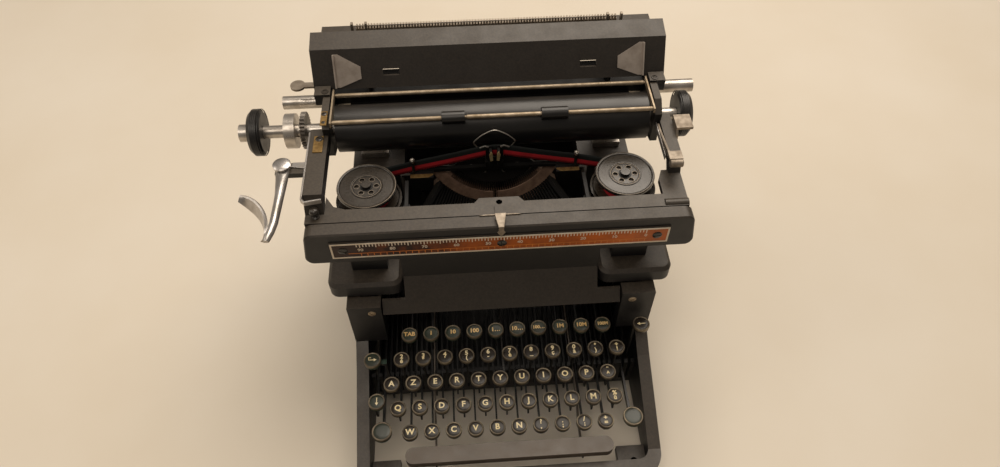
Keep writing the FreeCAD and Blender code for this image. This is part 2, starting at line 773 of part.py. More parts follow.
# ---------------------------------------------------------------- keyboard
HALF_LEVERS = 21
lever_pitch = S.key_pitch / 4
comb_half = base_half - S.base_wall - S.panel_gap


def make_lever_comb():
    """The slotted comb that keeps the key levers upright, and the rods that levers turn on."""
    body = loose_body("comb_plate")
    plate = sketch_on(body, "XZ", S.comb_front)
    rectangle(plate, -comb_half, comb_half, S.comb_low, S.comb_top)
    pad(body, plate, S.comb_thick)
    slot = sketch_on(body, "XZ", S.comb_front)
    left = -HALF_LEVERS * lever_pitch
    rectangle(slot, left - S.comb_slot / 2, left + S.comb_slot / 2, S.comb_slot_low, S.comb_top + 1)
    first = pocket(body, slot, S.comb_thick, backwards=True)
    in_line(body, [first], "X", lever_pitch, 2 * HALF_LEVERS + 1)
    arms = sketch_on(body, "XZ", S.comb_front)
    fine = S.comb_slot / 2
    wide = S.special_thick / 2 + 0.4
    for x, half in ((-S.space_arm_x, fine), (S.space_arm_x, fine), (-S.shift_x, wide),
                    (S.shift_x, wide), (-S.outer_lever_x, wide), (S.outer_lever_x, wide),
                    (-S.release_lever_x, wide)):
        rectangle(arms, x - half, x + half, S.comb_slot_low, S.comb_top + 1)
    pocket(body, arms, S.comb_thick, backwards=True)
    rods = [
        cylinder("X", S.pivot_radius, -wall_inside, wall_inside, S.pivot_y, S.pivot_z),
        cylinder("X", S.pivot_radius, -wall_inside, wall_inside, S.tab_rod_y, S.tab_rod_z),
    ]
    node(fused([body] + rods, "lever_comb"), "lever_comb")


def lever_outline(sketch, front_y, top_z, rise, rod=None):
    """Side view of a key lever: a forked tail on its rod, a straight bar and a stem in front."""
    rod_y, rod_z = rod or (S.pivot_y, S.pivot_z)
    low = rod_z - 3
    high = low + S.lever_height
    fork = S.pivot_radius + S.running_gap
    stem = S.stem_depth / 2
    knee = front_y + stem + 16
    outline(sketch, [
        (front_y - stem, rise),
        (front_y + stem + 2, rise),
        (knee, low),
        (rod_y - fork - 14, low),
        (rod_y - fork - 8, rod_z - fork - 3),
        (rod_y + fork + 3, rod_z - fork - 3),
        (rod_y + fork + 3, rod_z - fork),
        (rod_y - fork, rod_z - fork),
        (rod_y - fork, rod_z + fork),
        (rod_y + fork + 3, rod_z + fork),
        (rod_y + fork + 3, rod_z + fork + 3),
        (rod_y - fork - 8, rod_z + fork + 3),
        (rod_y - fork - 14, high),
        (knee, high),
        (front_y + stem, rise + S.lever_height),
        (front_y + stem, top_z - S.key_thick),
        (front_y - stem, top_z - S.key_thick),
    ])


def row_place(row):
    """Front to back place and height of a row's key tops, counted from the front letter row."""
    return S.front_row_y + row * S.row_run, S.front_row_z + row * S.row_rise


def make_key_row(name, row, first_x, runs, rise):
    """One row: its levers and its key tops. runs gives (first key, how many) stretches."""
    y, z = row_place(row)
    levers = new_body("levers_" + name)
    tops = new_body("key_tops_" + name)
    for first, count in runs:
        x = first_x + first * S.key_pitch
        side = sketch_on(levers, "YZ", x)
        lever_outline(side, y, z, rise)
        lever = pad(levers, side, S.lever_thick, both_ways=True)
        in_line(levers, [lever], "X", S.key_pitch, count)
        disc = sketch_on(tops, "XY", z - S.key_thick)
        circle(disc, x, y, S.key_radius)
        top = pad(tops, disc, S.key_thick)
        in_line(tops, [top], "X", S.key_pitch, count)


def special_key(name, x, y, z, radius, arm_x, low, both_sides=False):
    """A round key on a lever of its own that reaches back to the common rod."""
    body = new_body(name)
    side = sketch_on(body, "YZ", arm_x)
    lever_outline(side, y, z, low)
    pads = [pad(body, side, S.special_thick, both_ways=True)]
    if float(x) != float(arm_x):
        left, right = sorted((x, arm_x), key=float)
        foot = sketch_on(body, "XY", z - S.key_thick - 3)
        stem = S.stem_depth / 2
        rectangle(foot, left - S.special_thick / 2, right + S.special_thick / 2,
                  y - stem, y + stem)
        pads.append(pad(body, foot, 3))
    disc = sketch_on(body, "XY", z - S.key_thick)
    circle(disc, x, y, radius)
    pads.append(pad(body, disc, S.key_thick))
    if both_sides:
        mirrored(body, pads)
        tie = sketch_on(body, "YZ")
        rectangle(tie, 82, 86, S.lever_low - 8, S.lever_low - 3)
        pad(body, tie, 2 * arm_x + S.special_thick, both_ways=True)
        ends_down = sketch_on(body, "YZ", arm_x)
        rectangle(ends_down, 82, 86, S.lever_low - 8, S.lever_low + 1)
        mirrored(body, [pad(body, ends_down, S.special_thick, both_ways=True)])
    return body


def make_keyboard():
    quarter = lever_pitch
    home_first = -5 * S.key_pitch
    low = S.lever_low
    make_key_row("lower", 0, home_first + 2 * quarter, [(0, 10)], low)
    make_key_row("home", 1, home_first, [(0, 5), (6, 5)], low + 4)
    make_key_row("upper", 2, home_first - quarter, [(0, 11)], low + 14)
    make_key_row("number", 3, home_first + quarter, [(0, 11)], low)
    y, z = row_place(1)
    middle = new_body("key_middle")
    side = sketch_on(middle, "YZ")
    lever_outline(side, y, z, low + 4)
    pad(middle, side, S.lever_thick, both_ways=True)
    disc = sketch_on(middle, "XY", z - S.key_thick)
    circle(disc, 0, y, S.key_radius)
    pad(middle, disc, S.key_thick)


def make_tab_keys():
    """The ten tabulator keys stand on short levers with a rod of their own."""
    y, z = row_place(4)
    tops = new_body("key_tops_tab")
    levers = new_body("levers_tab")
    first_x = S.tab_middle - 4.5 * S.key_pitch
    disc = sketch_on(tops, "XY", z - S.key_thick)
    circle(disc, first_x, y, S.key_radius)
    in_line(tops, [pad(tops, disc, S.key_thick)], "X", S.key_pitch, 10)
    side = sketch_on(levers, "YZ", first_x)
    lever_outline(side, y, z, S.tab_rod_z + 2, rod=(S.tab_rod_y, S.tab_rod_z))
    in_line(levers, [pad(levers, side, S.lever_thick, both_ways=True)], "X", S.key_pitch, 10)


def make_space_bar():
    body = new_body("space_bar")
    plan = sketch_on(body, "XY", S.space_top - S.space_thick)
    half = S.space_depth / 2
    rectangle(plan, -S.space_half, S.space_half, S.space_y - half, S.space_y + half)
    pad(body, plan, S.space_thick)
    fillet(body, lambda edge: along(edge, Z_WAY), half - 0.4)
    fork = S.pivot_radius + S.running_gap
    under = S.space_top - S.space_thick
    low = S.lever_low
    dip = low - 10
    high = S.lever_low + S.lever_height
    arms = sketch_on(body, "YZ", S.space_arm_x)
    outline(arms, [
        (S.space_y - 4, under + 1), (S.space_y - 4, dip), (S.space_y + 31.5, dip),
        (S.space_y + 43.5, low), (S.pivot_y - fork - 14, low),
        (S.pivot_y - fork - 8, S.pivot_z - fork - 3),
        (S.pivot_y + fork + 3, S.pivot_z - fork - 3),
        (S.pivot_y + fork + 3, S.pivot_z - fork),
        (S.pivot_y - fork, S.pivot_z - fork),
        (S.pivot_y - fork, S.pivot_z + fork),
        (S.pivot_y + fork + 3, S.pivot_z + fork),
        (S.pivot_y + fork + 3, S.pivot_z + fork + 3),
        (S.pivot_y - fork - 8, S.pivot_z + fork + 3),
        (S.pivot_y - fork - 14, high), (S.space_y + 41.5, high),
        (S.space_y + 29.5, dip + 6), (S.space_y + 4, dip + 6), (S.space_y + 4, under + 1),
    ])
    arm = pad(body, arms, S.lever_thick, both_ways=True)
    mirrored(body, [arm])


def make_special_keys():
    low = S.lever_low
    special_key("shift_keys", S.shift_x, S.shift_y, S.shift_z, S.shift_radius,
                S.shift_x, low, both_sides=True)
    special_key("shift_lock_key", -S.lock_x, S.lock_y, S.lock_z, S.special_radius,
                -S.outer_lever_x, low)
    special_key("margin_release_key", -S.release_x, S.release_y, S.release_z,
                S.special_radius, -S.release_lever_x, low)
    special_key("backspace_key", S.backspace_x, S.backspace_y, S.backspace_z,
                S.special_radius, S.outer_lever_x, low)


# ---------------------------------------------------------------- type basket
BARS_EACH_SIDE = 21
ring_centre_y = S.typing_y + S.pivot_ring * cosine(S.basket_tilt)
ring_centre_z = S.typing_z - S.bar_length + S.pivot_ring * sine(S.basket_tilt)
rest_angle = 90 - S.basket_tilt + S.rest_lean


def tilt_basket(thing):
    """Stand a sub-part in the basket's own frame: its XY plane is the segment's plane."""
    thing.Placement = Placement(Vector(), Rotation(X_WAY, S.basket_tilt.value))
    bind(thing, Placement__Rotation__Angle=S.basket_tilt)
    put(thing, 0, ring_centre_y, ring_centre_z)


def basket_point(x, y, z):
    """Where a point of the basket's own frame lies in the machine."""
    tilt = math.radians(S.basket_tilt.value)
    return Vector(x, ring_centre_y.value + y * math.cos(tilt) - z * math.sin(tilt),
                  ring_centre_z.value + y * math.sin(tilt) + z * math.cos(tilt))


def sector(sketch, inner, outer, half_angle):
    """A flat ring sector that hangs below the sketch's origin, bounded by two true arcs."""
    half = half_angle.value
    low, high = math.radians(270 - half), math.radians(270 + half)
    first = sketch.GeometryCount
    for radius in (inner, outer):
        ring = Part.Circle(Vector(), Vector(0, 0, 1), float(radius))
        sketch.addGeometry(Part.ArcOfCircle(ring, low, high))
    far = [Vector(float(r) * math.cos(a), float(r) * math.sin(a), 0)
           for a in (low, high) for r in (inner, outer)]
    sketch.addGeometry(Part.LineSegment(far[0], far[1]))
    sketch.addGeometry(Part.LineSegment(far[2], far[3]))
    for line, point, arc, end in ((2, 1, 0, 1), (2, 2, 1, 1), (3, 1, 0, 2), (3, 2, 1, 2)):
        joint = Sketcher.Constraint("Coincident", first + line, point, first + arc, end)
        sketch.addConstraint(joint)
    hold(sketch, first, 3, 0, 0)
    hold(sketch, first + 1, 3, 0, 0)
    for arc, radius in ((0, inner), (1, outer)):
        sine_side = radius * sine(half_angle)
        drop = radius * cosine(half_angle)
        hold(sketch, first + arc, 1, -sine_side, -drop)
        rule = Sketcher.Constraint("DistanceX", -1, 1, first + arc, 2, sine_side.value)
        number = sketch.addConstraint(rule)
        sketch.setExpression(f"Constraints[{number}]", sine_side.formula)


def make_segment():
    """A steel ring sector, slotted once for each type bar."""
    body = new_body("segment")
    ring = sketch_on(body, "XY", -S.segment_thick / 2)
    sector(ring, S.segment_inner, S.segment_outer, S.segment_half_angle)
    pad(body, ring, S.segment_thick)
    half = S.slot_width / 2
    for backwards in (False, True):
        slot = sketch_on(body, "XY")
        rectangle(slot, -half, half, -S.slot_outer, 1 - S.segment_inner)
        cut_through = pocket(body, slot)
        round_about(body, [cut_through], BARS_EACH_SIDE * S.bar_step, BARS_EACH_SIDE + 1,
                    backwards)
    web = sketch_on(body, "XY", -S.segment_thick / 2)
    sector(web, S.web_inner, S.segment_inner + 0.6, S.segment_half_angle)
    web_thick = 3
    pad(body, web, web_thick)
    holes = sketch_on(body, "XY", -S.segment_thick / 2)
    for degrees in (236, 256, 284, 304):
        angle = math.radians(degrees)
        circle(holes, S.web_hole_ring * math.cos(angle), S.web_hole_ring * math.sin(angle),
               S.web_hole)
    pocket(body, holes, web_thick, backwards=True)
    tilt_basket(body)


def bar_point(length, height):
    """A point of a resting type bar: so far along it, so far to the side of its type."""
    along_y = cosine(rest_angle)
    along_z = sine(rest_angle)
    u = length * along_y + height * along_z - S.pivot_ring
    v = length * along_z - height * along_y
    return u, v


def type_bar(body, turn=0):
    """A flat bar with a type block near its tip, lying back from its pivot."""
    half = S.bar_high / 2
    tip = S.bar_length + S.type_long / 2
    neck = S.bar_length - S.type_long / 2
    blade = [
        bar_point(-2, 0.6 - half), bar_point(2, -half), bar_point(neck - 4, 0.4 - half),
        bar_point(tip, 0.8 - half), bar_point(tip, half), bar_point(neck - 6, half - 0.4),
        bar_point(2, half), bar_point(-2, half - 0.6),
    ]
    block = [
        bar_point(neck, half - 1.5), bar_point(tip, half - 1.5),
        bar_point(tip, S.type_depth), bar_point(neck, S.type_depth),
    ]
    features = []
    for corners, thick in ((blade, S.bar_thick), (block, S.type_wide)):
        side = sketch_on(body, "YZ")
        turned_offset = Placement(Vector(), Rotation(Vector(0, 1, 0), float(as_size(turn))))
        side.AttachmentOffset = turned_offset
        if turn:
            bind(side, AttachmentOffset__Rotation__Angle=turn)
        outline(side, corners)
        features.append(pad(body, side, thick, both_ways=True))
    return features


def make_type_bars():
    """The middle type bar by itself, and twenty-one more on each side of it."""
    middle = new_body("type_bar_middle")
    type_bar(middle)
    bore = sketch_on(middle, "YZ")
    circle(bore, *bar_point(0, 0), 0.8)
    pocket(middle, bore)
    tilt_basket(middle)
    bars = new_body("type_bars")
    reach = (BARS_EACH_SIDE - 1) * S.bar_step
    round_about(bars, type_bar(bars, S.bar_step), reach, BARS_EACH_SIDE)
    round_about(bars, type_bar(bars, -S.bar_step), reach, BARS_EACH_SIDE, backwards=True)
    tilt_basket(bars)


def make_type_rest():
    """The curved rest under the bars, its arms to the segment and its sliding ears."""
    body = loose_body("rest_ring")
    ring = sketch_on(body, "XY", S.rest_axial - S.rest_thick)
    sector(ring, S.rest_inner, S.rest_inner + S.rest_width, S.segment_half_angle)
    pad(body, ring, S.rest_thick)
    arm_angle = S.segment_half_angle - 1.4
    outer = S.rest_inner + S.rest_width
    front = S.segment_thick / 2
    for turn in (arm_angle, -arm_angle):
        side = sketch_on(body, "YZ")
        side.AttachmentOffset = Placement(Vector(), Rotation(Vector(0, 1, 0), turn.value))
        bind(side, AttachmentOffset__Rotation__Angle=turn)
        outline(side, [
            (1 - S.segment_outer + 7, front), (1 - S.segment_outer, front),
            (-outer, S.rest_axial - S.rest_thick), (-outer, S.rest_axial),
            (1 - S.rest_inner, S.rest_axial), (1 - S.segment_outer + 7, front + 9),
        ])
        pad(body, side, S.rest_arm, both_ways=True)
    tilt_basket(body)
    node(fused([body] + slide_sleeves(), "type_rest"), "type_rest")


def slide_sleeves():
    """Two sleeves that carry the basket on upright rods."""
    sleeves = []
    for side in (-1, 1):
        x = side * S.slide_x
        inner, outer = sorted((x, side * (S.slide_x - 14)), key=float)
        block = box(x - 6, x + 6, S.slide_y - 6, S.slide_y + 6, S.slide_low, S.slide_low + 18)
        lug = box(inner, outer, S.slide_y - 4, S.slide_y + 4,
                  S.slide_low + 10, S.slide_low + 18)
        hole = cylinder("Z", S.slide_rod + S.running_gap, S.slide_low - 1, S.slide_low + 19,
                        x, S.slide_y)
        sleeves.append(cut(fused([block, lug], "sleeve"), hole, "sleeve"))
    return sleeves


def slide_rods():
    """The upright rods that the basket slides on, each with its foot in the throat."""
    parts = []
    for side in (-1, 1):
        x = side * S.slide_x
        inner, outer = sorted((x - side * 5, side * S.throat_half), key=float)
        parts.append(cylinder("Z", S.slide_rod, S.deck_bottom, S.bridge_low, x, S.slide_y))
        parts.append(box(x - 1.5, x + 1.5, S.slide_y - 12, S.slide_y + 26,
                         S.bridge_low, S.bridge_low + 4))
        parts.append(box(inner, outer, S.slide_y - 6, S.slide_y + 6,
                         S.deck_bottom, S.deck_bottom + 5))
    return parts


def strip(points, thick_way):
    """A thin straight strip between cross sections. Each point gives a place and a half height."""
    wires = []
    for place, up in points:
        corners = [place + up + thick_way, place - up + thick_way,
                   place - up - thick_way, place + up - thick_way]
        wires.append(Part.makePolygon(corners + corners[:1]))
    return Part.makeLoft(wires, True, True)


def make_type_links():
    """A thin link from each key lever up to its type bar's heel."""
    links = []
    half_depth = Vector(0, 1, 0)
    half_thick = Vector(0.25, 0, 0)
    beside_lever = S.lever_thick.value / 2 + 0.45
    above_levers = S.lever_low.value + S.lever_height.value + 8
    below_bars = S.pivot_ring.value + 6.6
    past_space_arm = math.ceil(S.space_arm_x.value / lever_pitch.value)
    for number in range(-BARS_EACH_SIDE, BARS_EACH_SIDE + 1):
        if number == 0:
            continue
        outwards = math.copysign(1, number)
        aside = beside_lever if abs(number) >= past_space_arm else -beside_lever
        x = number * lever_pitch.value + outwards * aside
        low = Vector(x, S.link_y.value, S.lever_low.value + 2)
        knee = Vector(x, S.link_y.value, above_levers)
        turn = math.radians(number * S.bar_step.value)
        high = basket_point(below_bars * math.sin(turn), -below_bars * math.cos(turn), 7.5)
        stations = [(place, half_depth) for place in (low, knee, high)]
        links.append(strip(stations, half_thick))
    plain(Part.makeCompound(links), "type_links")


# ---------------------------------------------------------------- printing point and ribbon
def make_type_guide():
    """The bridge across the throat with the type guide's two prongs in the middle."""
    top = S.bridge_low + S.bridge_high
    back = S.bridge_y + 4
    parts = [box(-S.bridge_half, S.bridge_half, S.bridge_y, back, S.bridge_low, top)]
    for side in (-1, 1):
        inner, outer = sorted((side * S.bridge_half, side * (S.bridge_half - 6)), key=float)
        parts.append(box(inner, outer, S.bridge_y, S.bridge_y + 6, deck_top, top))
        inner, outer = sorted((side * (S.post_x - 17), side * (S.post_x + 3.5)), key=float)
        parts.append(box(inner, outer, S.post_y - 6, back, S.bridge_low, top - 1))
        inner, outer = sorted((side * 2.4, side * 4.8), key=float)
        parts.append(box(inner, outer, S.bridge_y - 5, S.bridge_y + 1, 196, 210))
    parts.append(box(-8, 8, S.bridge_y, S.bridge_y + 5.5, top - 0.5, 196.5))
    node(fused(parts + ribbon_posts() + slide_rods(), "type_guide"), "type_guide")


def make_ribbon():
    """The ribbon from spool to spool, round the posts and through the type guide."""
    low = S.spool_top.value - S.spool_flange.value - S.ribbon_width.value / 2 - 0.2
    high = low + S.ribbon_lift.value
    half = Vector(0, 0, S.ribbon_width.value / 2)
    wound = S.wound_radius.value + 0.3
    spool = Vector(S.spool_x.value, S.spool_y.value, 0)
    post = Vector(S.post_x.value, S.post_y.value + S.post_radius.value + 0.5, 0)
    reach = post - spool
    turn = math.atan2(reach.y, reach.x) - math.acos(wound / reach.Length)
    off = spool + Vector(wound * math.cos(turn), wound * math.sin(turn), 0)
    stations = [(off.x, off.y, low), (post.x, post.y, low), (7, S.ribbon_y.value, high)]
    stations = stations + [(-x, y, z) for x, y, z in reversed(stations)]
    thick = Vector(0, S.ribbon_thick.value / 2, 0)
    plain(strip([(Vector(*place), half) for place in stations], thick), "ribbon")


def ribbon_posts():
    """The two posts that lead the ribbon off its spools."""
    parts = []
    for side in (-1, 1):
        parts.append(cylinder("Z", S.post_radius, S.bridge_low, S.spool_top + 1,
                              side * S.post_x, S.post_y))
    return parts


def make_spools():
    """Two ribbon spools: a pair of flanges on a hub with the ribbon wound on it."""
    for name, side in (("spool_left", -1), ("spool_right", 1)):
        body = new_body(name)
        x = side * S.spool_x
        low = S.spool_top - 2 * S.spool_flange - S.ribbon_width - 0.4
        hub = sketch_on(body, "XY", low)
        circle(hub, x, S.spool_y, S.wound_radius)
        circle(hub, x, S.spool_y, S.spool_pin + S.running_gap)
        pad(body, hub, S.spool_top - low)
        for height in (low, S.spool_top - S.spool_flange):
            flange = sketch_on(body, "XY", height)
            circle(flange, x, S.spool_y, S.spool_radius)
            circle(flange, x, S.spool_y, S.spool_pin + S.running_gap)
            pad(body, flange, S.spool_flange)
        dogs = sketch_on(body, "XY", S.spool_top)
        for spoke in range(6):
            angle = math.radians(60 * spoke)
            circle(dogs, x + S.dog_ring * math.cos(angle),
                   S.spool_y + S.dog_ring * math.sin(angle), S.dog_radius)
        pocket(body, dogs, S.spool_flange)


def make_spool_cups():
    """Shallow cups under the spools, each on a pedestal with the spool's pin."""
    body = new_body("spool_cups")
    low = S.spool_top - 2 * S.spool_flange - S.ribbon_width - 0.4
    floor = low - 4
    inner = S.spool_radius + S.cup_gap
    for name, height, radius, hole, start in (
            ("wall", 5, inner + S.cup_wall, inner, floor),
            ("floor", S.cup_wall, inner + S.cup_wall, None, floor),
            ("pedestal", floor - deck_top, S.cup_stem, None, deck_top),
            ("pin", S.spool_top + 3 - floor, S.spool_pin, None, floor)):
        face = sketch_on(body, "XY", start)
        for side in (-1, 1):
            circle(face, side * S.spool_x, S.spool_y, radius)
            if hole is not None:
                circle(face, side * S.spool_x, S.spool_y, hole)
        pad(body, face, height)


# ---------------------------------------------------------------- carriage
RACK_TEETH = 96
WHEEL_TEETH = 20
RATCHET_TEETH = 30
TAB_TEETH = 91


def end_casting(body, side, arm_in, arm_out, arm_profile, corner_plan):
    """One end of the carriage: the upright plate, the arm to the front and the corner plate."""
    plate = sketch_on(body, "YZ", side * (S.plate_inner + S.plate_thick / 2))
    under = S.platen_z - S.platen_radius
    rail_front = S.rail_y - S.rail_radius - S.rail_room
    rail_over = S.rail_z + S.rail_radius + S.rail_room
    back = S.rear_bar_back - 12
    seat = S.table_low_z - 1
    seat_front = S.table_low_y - 0.5
    outline(plate, [
        (S.platen_y - 16, under + 4), (S.platen_y - 2, under), (rail_front - 9, under),
        (rail_front, under + 9), (rail_front, rail_over), (back, rail_over),
        (back, S.rear_bar_high + 4), (back - 10, seat), (seat_front, seat),
        (seat_front, S.plate_top), (S.platen_y - 6, S.plate_top),
        (S.platen_y - 16, S.plate_top - 9),
    ])
    pad(body, plate, S.plate_thick, both_ways=True)
    nut = sketch_on(body, "YZ", side * (S.plate_inner + S.nut_block_out) / 2)
    rectangle(nut, S.bail_y - 7, seat_front, S.plate_top - 9, S.plate_top + 2)
    pad(body, nut, S.nut_block_out - S.plate_inner, both_ways=True)
    arm = sketch_on(body, "YZ", side * (arm_in + arm_out) / 2)
    outline(arm, arm_profile)
    pad(body, arm, arm_out - arm_in, both_ways=True)
    corner = sketch_on(body, "XY", S.front_bar_low)
    outline(corner, corner_plan)
    pad(body, corner, S.front_bar_high - S.front_bar_low)
    bores = sketch_on(body, "YZ")
    circle(bores, S.platen_y, S.platen_z, S.shaft_radius + S.running_gap)
    circle(bores, S.bail_y, S.bail_z, S.bail_rod + S.running_gap)
    pocket(body, bores)


def make_carriage_ends():
    low = S.front_bar_low
    high = S.front_bar_high
    front = -S.cross_front
    back = front + S.cross_depth
    arm_end = S.platen_y - 8
    left = loose_body("left_casting")
    left_in = S.plate_inner + 2
    end_casting(left, -1, left_in, S.left_arm_out, [
        (front, low), (back, low), (back + 12, S.arm_low), (arm_end, S.arm_low),
        (arm_end, S.arm_top), (back + 4, S.arm_top), (back - 4, high), (front, high),
    ], [(-S.left_arm_out, front), (-left_in, front), (-left_in, back), (-S.left_arm_out, back)])
    node(fused([left] + lever_bracket() + pins(-1), "carriage_left_end"), "carriage_left_end")
    right = loose_body("right_casting")
    plate_in = S.plate_inner - 4
    plate_back = S.corner_plate_back
    end_casting(right, 1, S.plate_inner + 5, S.right_arm_out, [
        (front, low), (plate_back, low), (plate_back + 8, S.arm_low), (arm_end, S.arm_low),
        (arm_end, S.arm_top), (plate_back + 2, S.arm_top), (plate_back - 4, high),
        (front, high),
    ], [(plate_in, front), (S.right_arm_out, front), (S.right_arm_out, plate_back),
        (plate_in + 3.5, plate_back), (plate_in, plate_back - 9)])
    bead = cylinder("X", S.bead_radius, plate_in, S.right_arm_out,
                    front + S.bead_radius, high - 2)
    node(fused([right, bead] + pins(1), "carriage_right_end"), "carriage_right_end")


def pins(side):
    """The small levers' pins on one end of the carriage."""
    plate_out = S.plate_inner + S.plate_thick
    if side < 0:
        return [cylinder("X", S.small_pin, -plate_out - 1.6, 1 - plate_out,
                         S.selector_pin_y, S.selector_pin_z)]
    return [
        cylinder("X", S.small_pin, S.right_arm_out - 1, S.right_arm_out + 2,
                 S.carriage_pin_y, S.carriage_pin_z),
        cylinder("X", S.small_pin, S.plate_inner + 2, plate_out,
                 S.paper_pin_y, S.paper_pin_z),
    ]


def make_carriage_front_bar():
    body = new_body("carriage_front_bar")
    back = -S.cross_front + S.cross_depth
    plan = sketch_on(body, "XY", S.front_bar_low)
    outline(plan, [
        (-S.plate_inner - 2, -S.cross_front), (S.plate_inner - 4, -S.cross_front),
        (S.plate_inner - 4, back), (20, back), (16, back + 5), (-16, back + 5),
        (-20, back), (S.corner_flare - S.plate_inner, back),
        (S.corner_flare / 3 - S.plate_inner, back + S.corner_flare / 4),
        (-S.plate_inner - 2, back + S.corner_flare),
    ])
    pad(body, plan, S.front_bar_high - S.front_bar_low)
    hole = sketch_on(body, "XY", S.front_bar_low)
    circle(hole, 0, back, 2.5)
    pocket(body, hole, S.front_bar_high - S.front_bar_low, backwards=True)
    saddle = sketch_on(body, "XY", S.front_bar_high)
    rectangle(saddle, -4, 4, -S.cross_front, back - 4)
    pad(body, saddle, 1.6)
    nose = sketch_on(body, "YZ")
    top = S.front_bar_high + 0.8
    outline(nose, [
        (-S.cross_front, top), (-S.bar_front - 1.8, top), (-S.bar_front - 1.8, top - 7),
        (-S.bar_front - 2.8, top - 7), (-S.bar_front - 2.8, top + 1),
        (-S.cross_front, top + 1),
    ])
    pad(body, nose, 3, both_ways=True)
    hanger = sketch_on(body, "XZ", 6)
    rectangle(hanger, -5, 5, S.roller_z - 2.4, S.front_bar_low)
    pad(body, hanger, 2)
    pin = sketch_on(body, "XZ", 8)
    circle(pin, 0, S.roller_z, S.roller_pin)
    pad(body, pin, 7)


def make_front_roller():
    ring = cylinder("Y", S.roller_radius, -14.8, -8.2, 0, S.roller_z)
    hole = cylinder("Y", S.roller_pin + S.running_gap, -16, -7, 0, S.roller_z)
    node(cut(ring, hole, "front_roller"), "front_roller")


def make_carriage_rear_bar():
    """The bar behind the platen with two shoes that slide on the rear rail."""
    body = new_body("carriage_rear_bar")
    bar = sketch_on(body, "YZ")
    rectangle(bar, S.rear_bar_front, S.rear_bar_back, S.rear_bar_low, S.rear_bar_high)
    pad(body, bar, 2 * S.plate_inner, both_ways=True)
    shoe_pads = []
    shoe = sketch_on(body, "YZ", S.shoe_x)
    bore = S.rail_radius + S.running_gap
    rectangle(shoe, S.rail_y - bore - 4, S.rail_y + bore + 4, S.rail_z - 8, S.rear_bar_low + 1)
    shoe_pads.append(pad(body, shoe, S.shoe_length, both_ways=True))
    stay = sketch_on(body, "YZ", S.stay_x)
    outline(stay, [
        (S.table_low_y + 3.5, S.rear_bar_high - 1), (S.table_low_y + 1.5, S.table_low_z - 0.6),
        (S.table_fold_y + 1.1, S.table_fold_z - 1.25), (S.table_fold_y + 8, S.table_fold_z + 0.3),
        (S.table_fold_y + 11, S.table_fold_z - 9), (S.table_fold_y + 11, S.rear_bar_high - 1),
    ])
    shoe_pads.append(pad(body, stay, 3, both_ways=True))
    bracket = sketch_on(body, "YZ", S.stay_x + 16)
    outline(bracket, [
        (S.rear_bar_back - 6, S.rear_bar_high - 6), (S.rear_bar_back, S.rear_bar_high - 6),
        (S.housing_front, S.housing_low + 2), (S.housing_front, S.housing_low + 7),
        (S.rear_bar_back - 6, S.rear_bar_high + 4),
    ])
    shoe_pads.append(pad(body, bracket, 5, both_ways=True))
    mirrored(body, shoe_pads)
    channel = sketch_on(body, "YZ")
    circle(channel, S.rail_y, S.rail_z, bore)
    pocket(body, channel)
    gap = sketch_on(body, "YZ")
    half = S.rail_web / 2 + 1.5
    rectangle(gap, S.rail_y - half, S.rail_y + half, S.rail_z - 9, S.rail_z)
    pocket(body, gap)
    back = S.rear_bar_front
    rack = sketch_on(body, "YZ")
    rectangle(rack, back - 4, back, S.rack_low, S.rack_low + 6)
    pad(body, rack, 2 * S.rack_half, both_ways=True)
    rack_teeth(body, back - 4, back)


def rack_teeth(body, front, back):
    """The row of pointed teeth under the rack, one for each letter space."""
    tooth = sketch_on(body, "XZ", -back)
    first = -(RACK_TEETH - 1) / 2 * S.rack_pitch
    low = S.rack_low
    outline(tooth, [
        (first - 1, low + 0.3), (first + 1, low + 0.3), (first + 1, low),
        (first + 0.35, low - 2), (first - 0.35, low - 2), (first - 1, low),
    ])
    one = pad(body, tooth, back - front)
    in_line(body, [one], "X", S.rack_pitch, RACK_TEETH)


def make_escapement_wheel():
    """A twenty-tooth pinion that follows the rack, on a fixed bracket."""
    body = new_body("escapement_wheel")
    radius = WHEEL_TEETH * S.rack_pitch / (2 * math.pi)
    centre_z = S.rack_low - 1.0 - radius
    disc = sketch_on(body, "XZ", -S.rear_bar_front)
    circle(disc, 0, 0, radius - 1.3)
    circle(disc, 0, 0, 2 + S.running_gap)
    pad(body, disc, 4)
    tooth = sketch_on(body, "XZ", -S.rear_bar_front)
    outline(tooth, [
        (-0.8, radius - 1.6), (0.8, radius - 1.6), (0.3, radius + 0.5), (-0.3, radius + 0.5),
    ])
    one = pad(body, tooth, 4)
    ring = body.newObject("PartDesign::PolarPattern", "wheel_teeth")
    ring.Originals = [one]
    ring.Axis = (origin_part(body, "Y_Axis"), [""])
    ring.Angle = 360
    ring.Occurrences = WHEEL_TEETH
    body.Tip = ring
    put(body, 0, 0, centre_z)
    return centre_z


def escapement_bracket(centre_z):
    y = S.rear_bar_front
    return [
        box(-13, 13, y - 10, y - 6, deck_top, centre_z + 6),
        box(-13, 13, S.throat_back + 1, y - 6, deck_top, deck_top + 4),
        cylinder("Y", 2, y - 7, y + 1, 0, centre_z),
    ]


def make_mainspring(wheel_z):
    """The drum whose spring draws the carriage, and the brackets on the upper casting."""
    x = -S.drum_x
    front = base_back - S.drum_inset
    drum = cylinder("Y", S.drum_radius, front, front + 14, x, S.drum_z)
    hole = cylinder("Y", 4 + S.running_gap, front - 1, front + 15, x, S.drum_z)
    node(cut(drum, hole, "mainspring_drum"), "mainspring_drum")
    back = base_back
    parts = [
        box(x - 14, x + 14, back - 4, back, deck_top, S.drum_z + 14),
        cylinder("Y", 4, front - 2, back - 3, x, S.drum_z),
    ]
    node(fused(parts + escapement_bracket(wheel_z), "rear_brackets"), "rear_brackets")


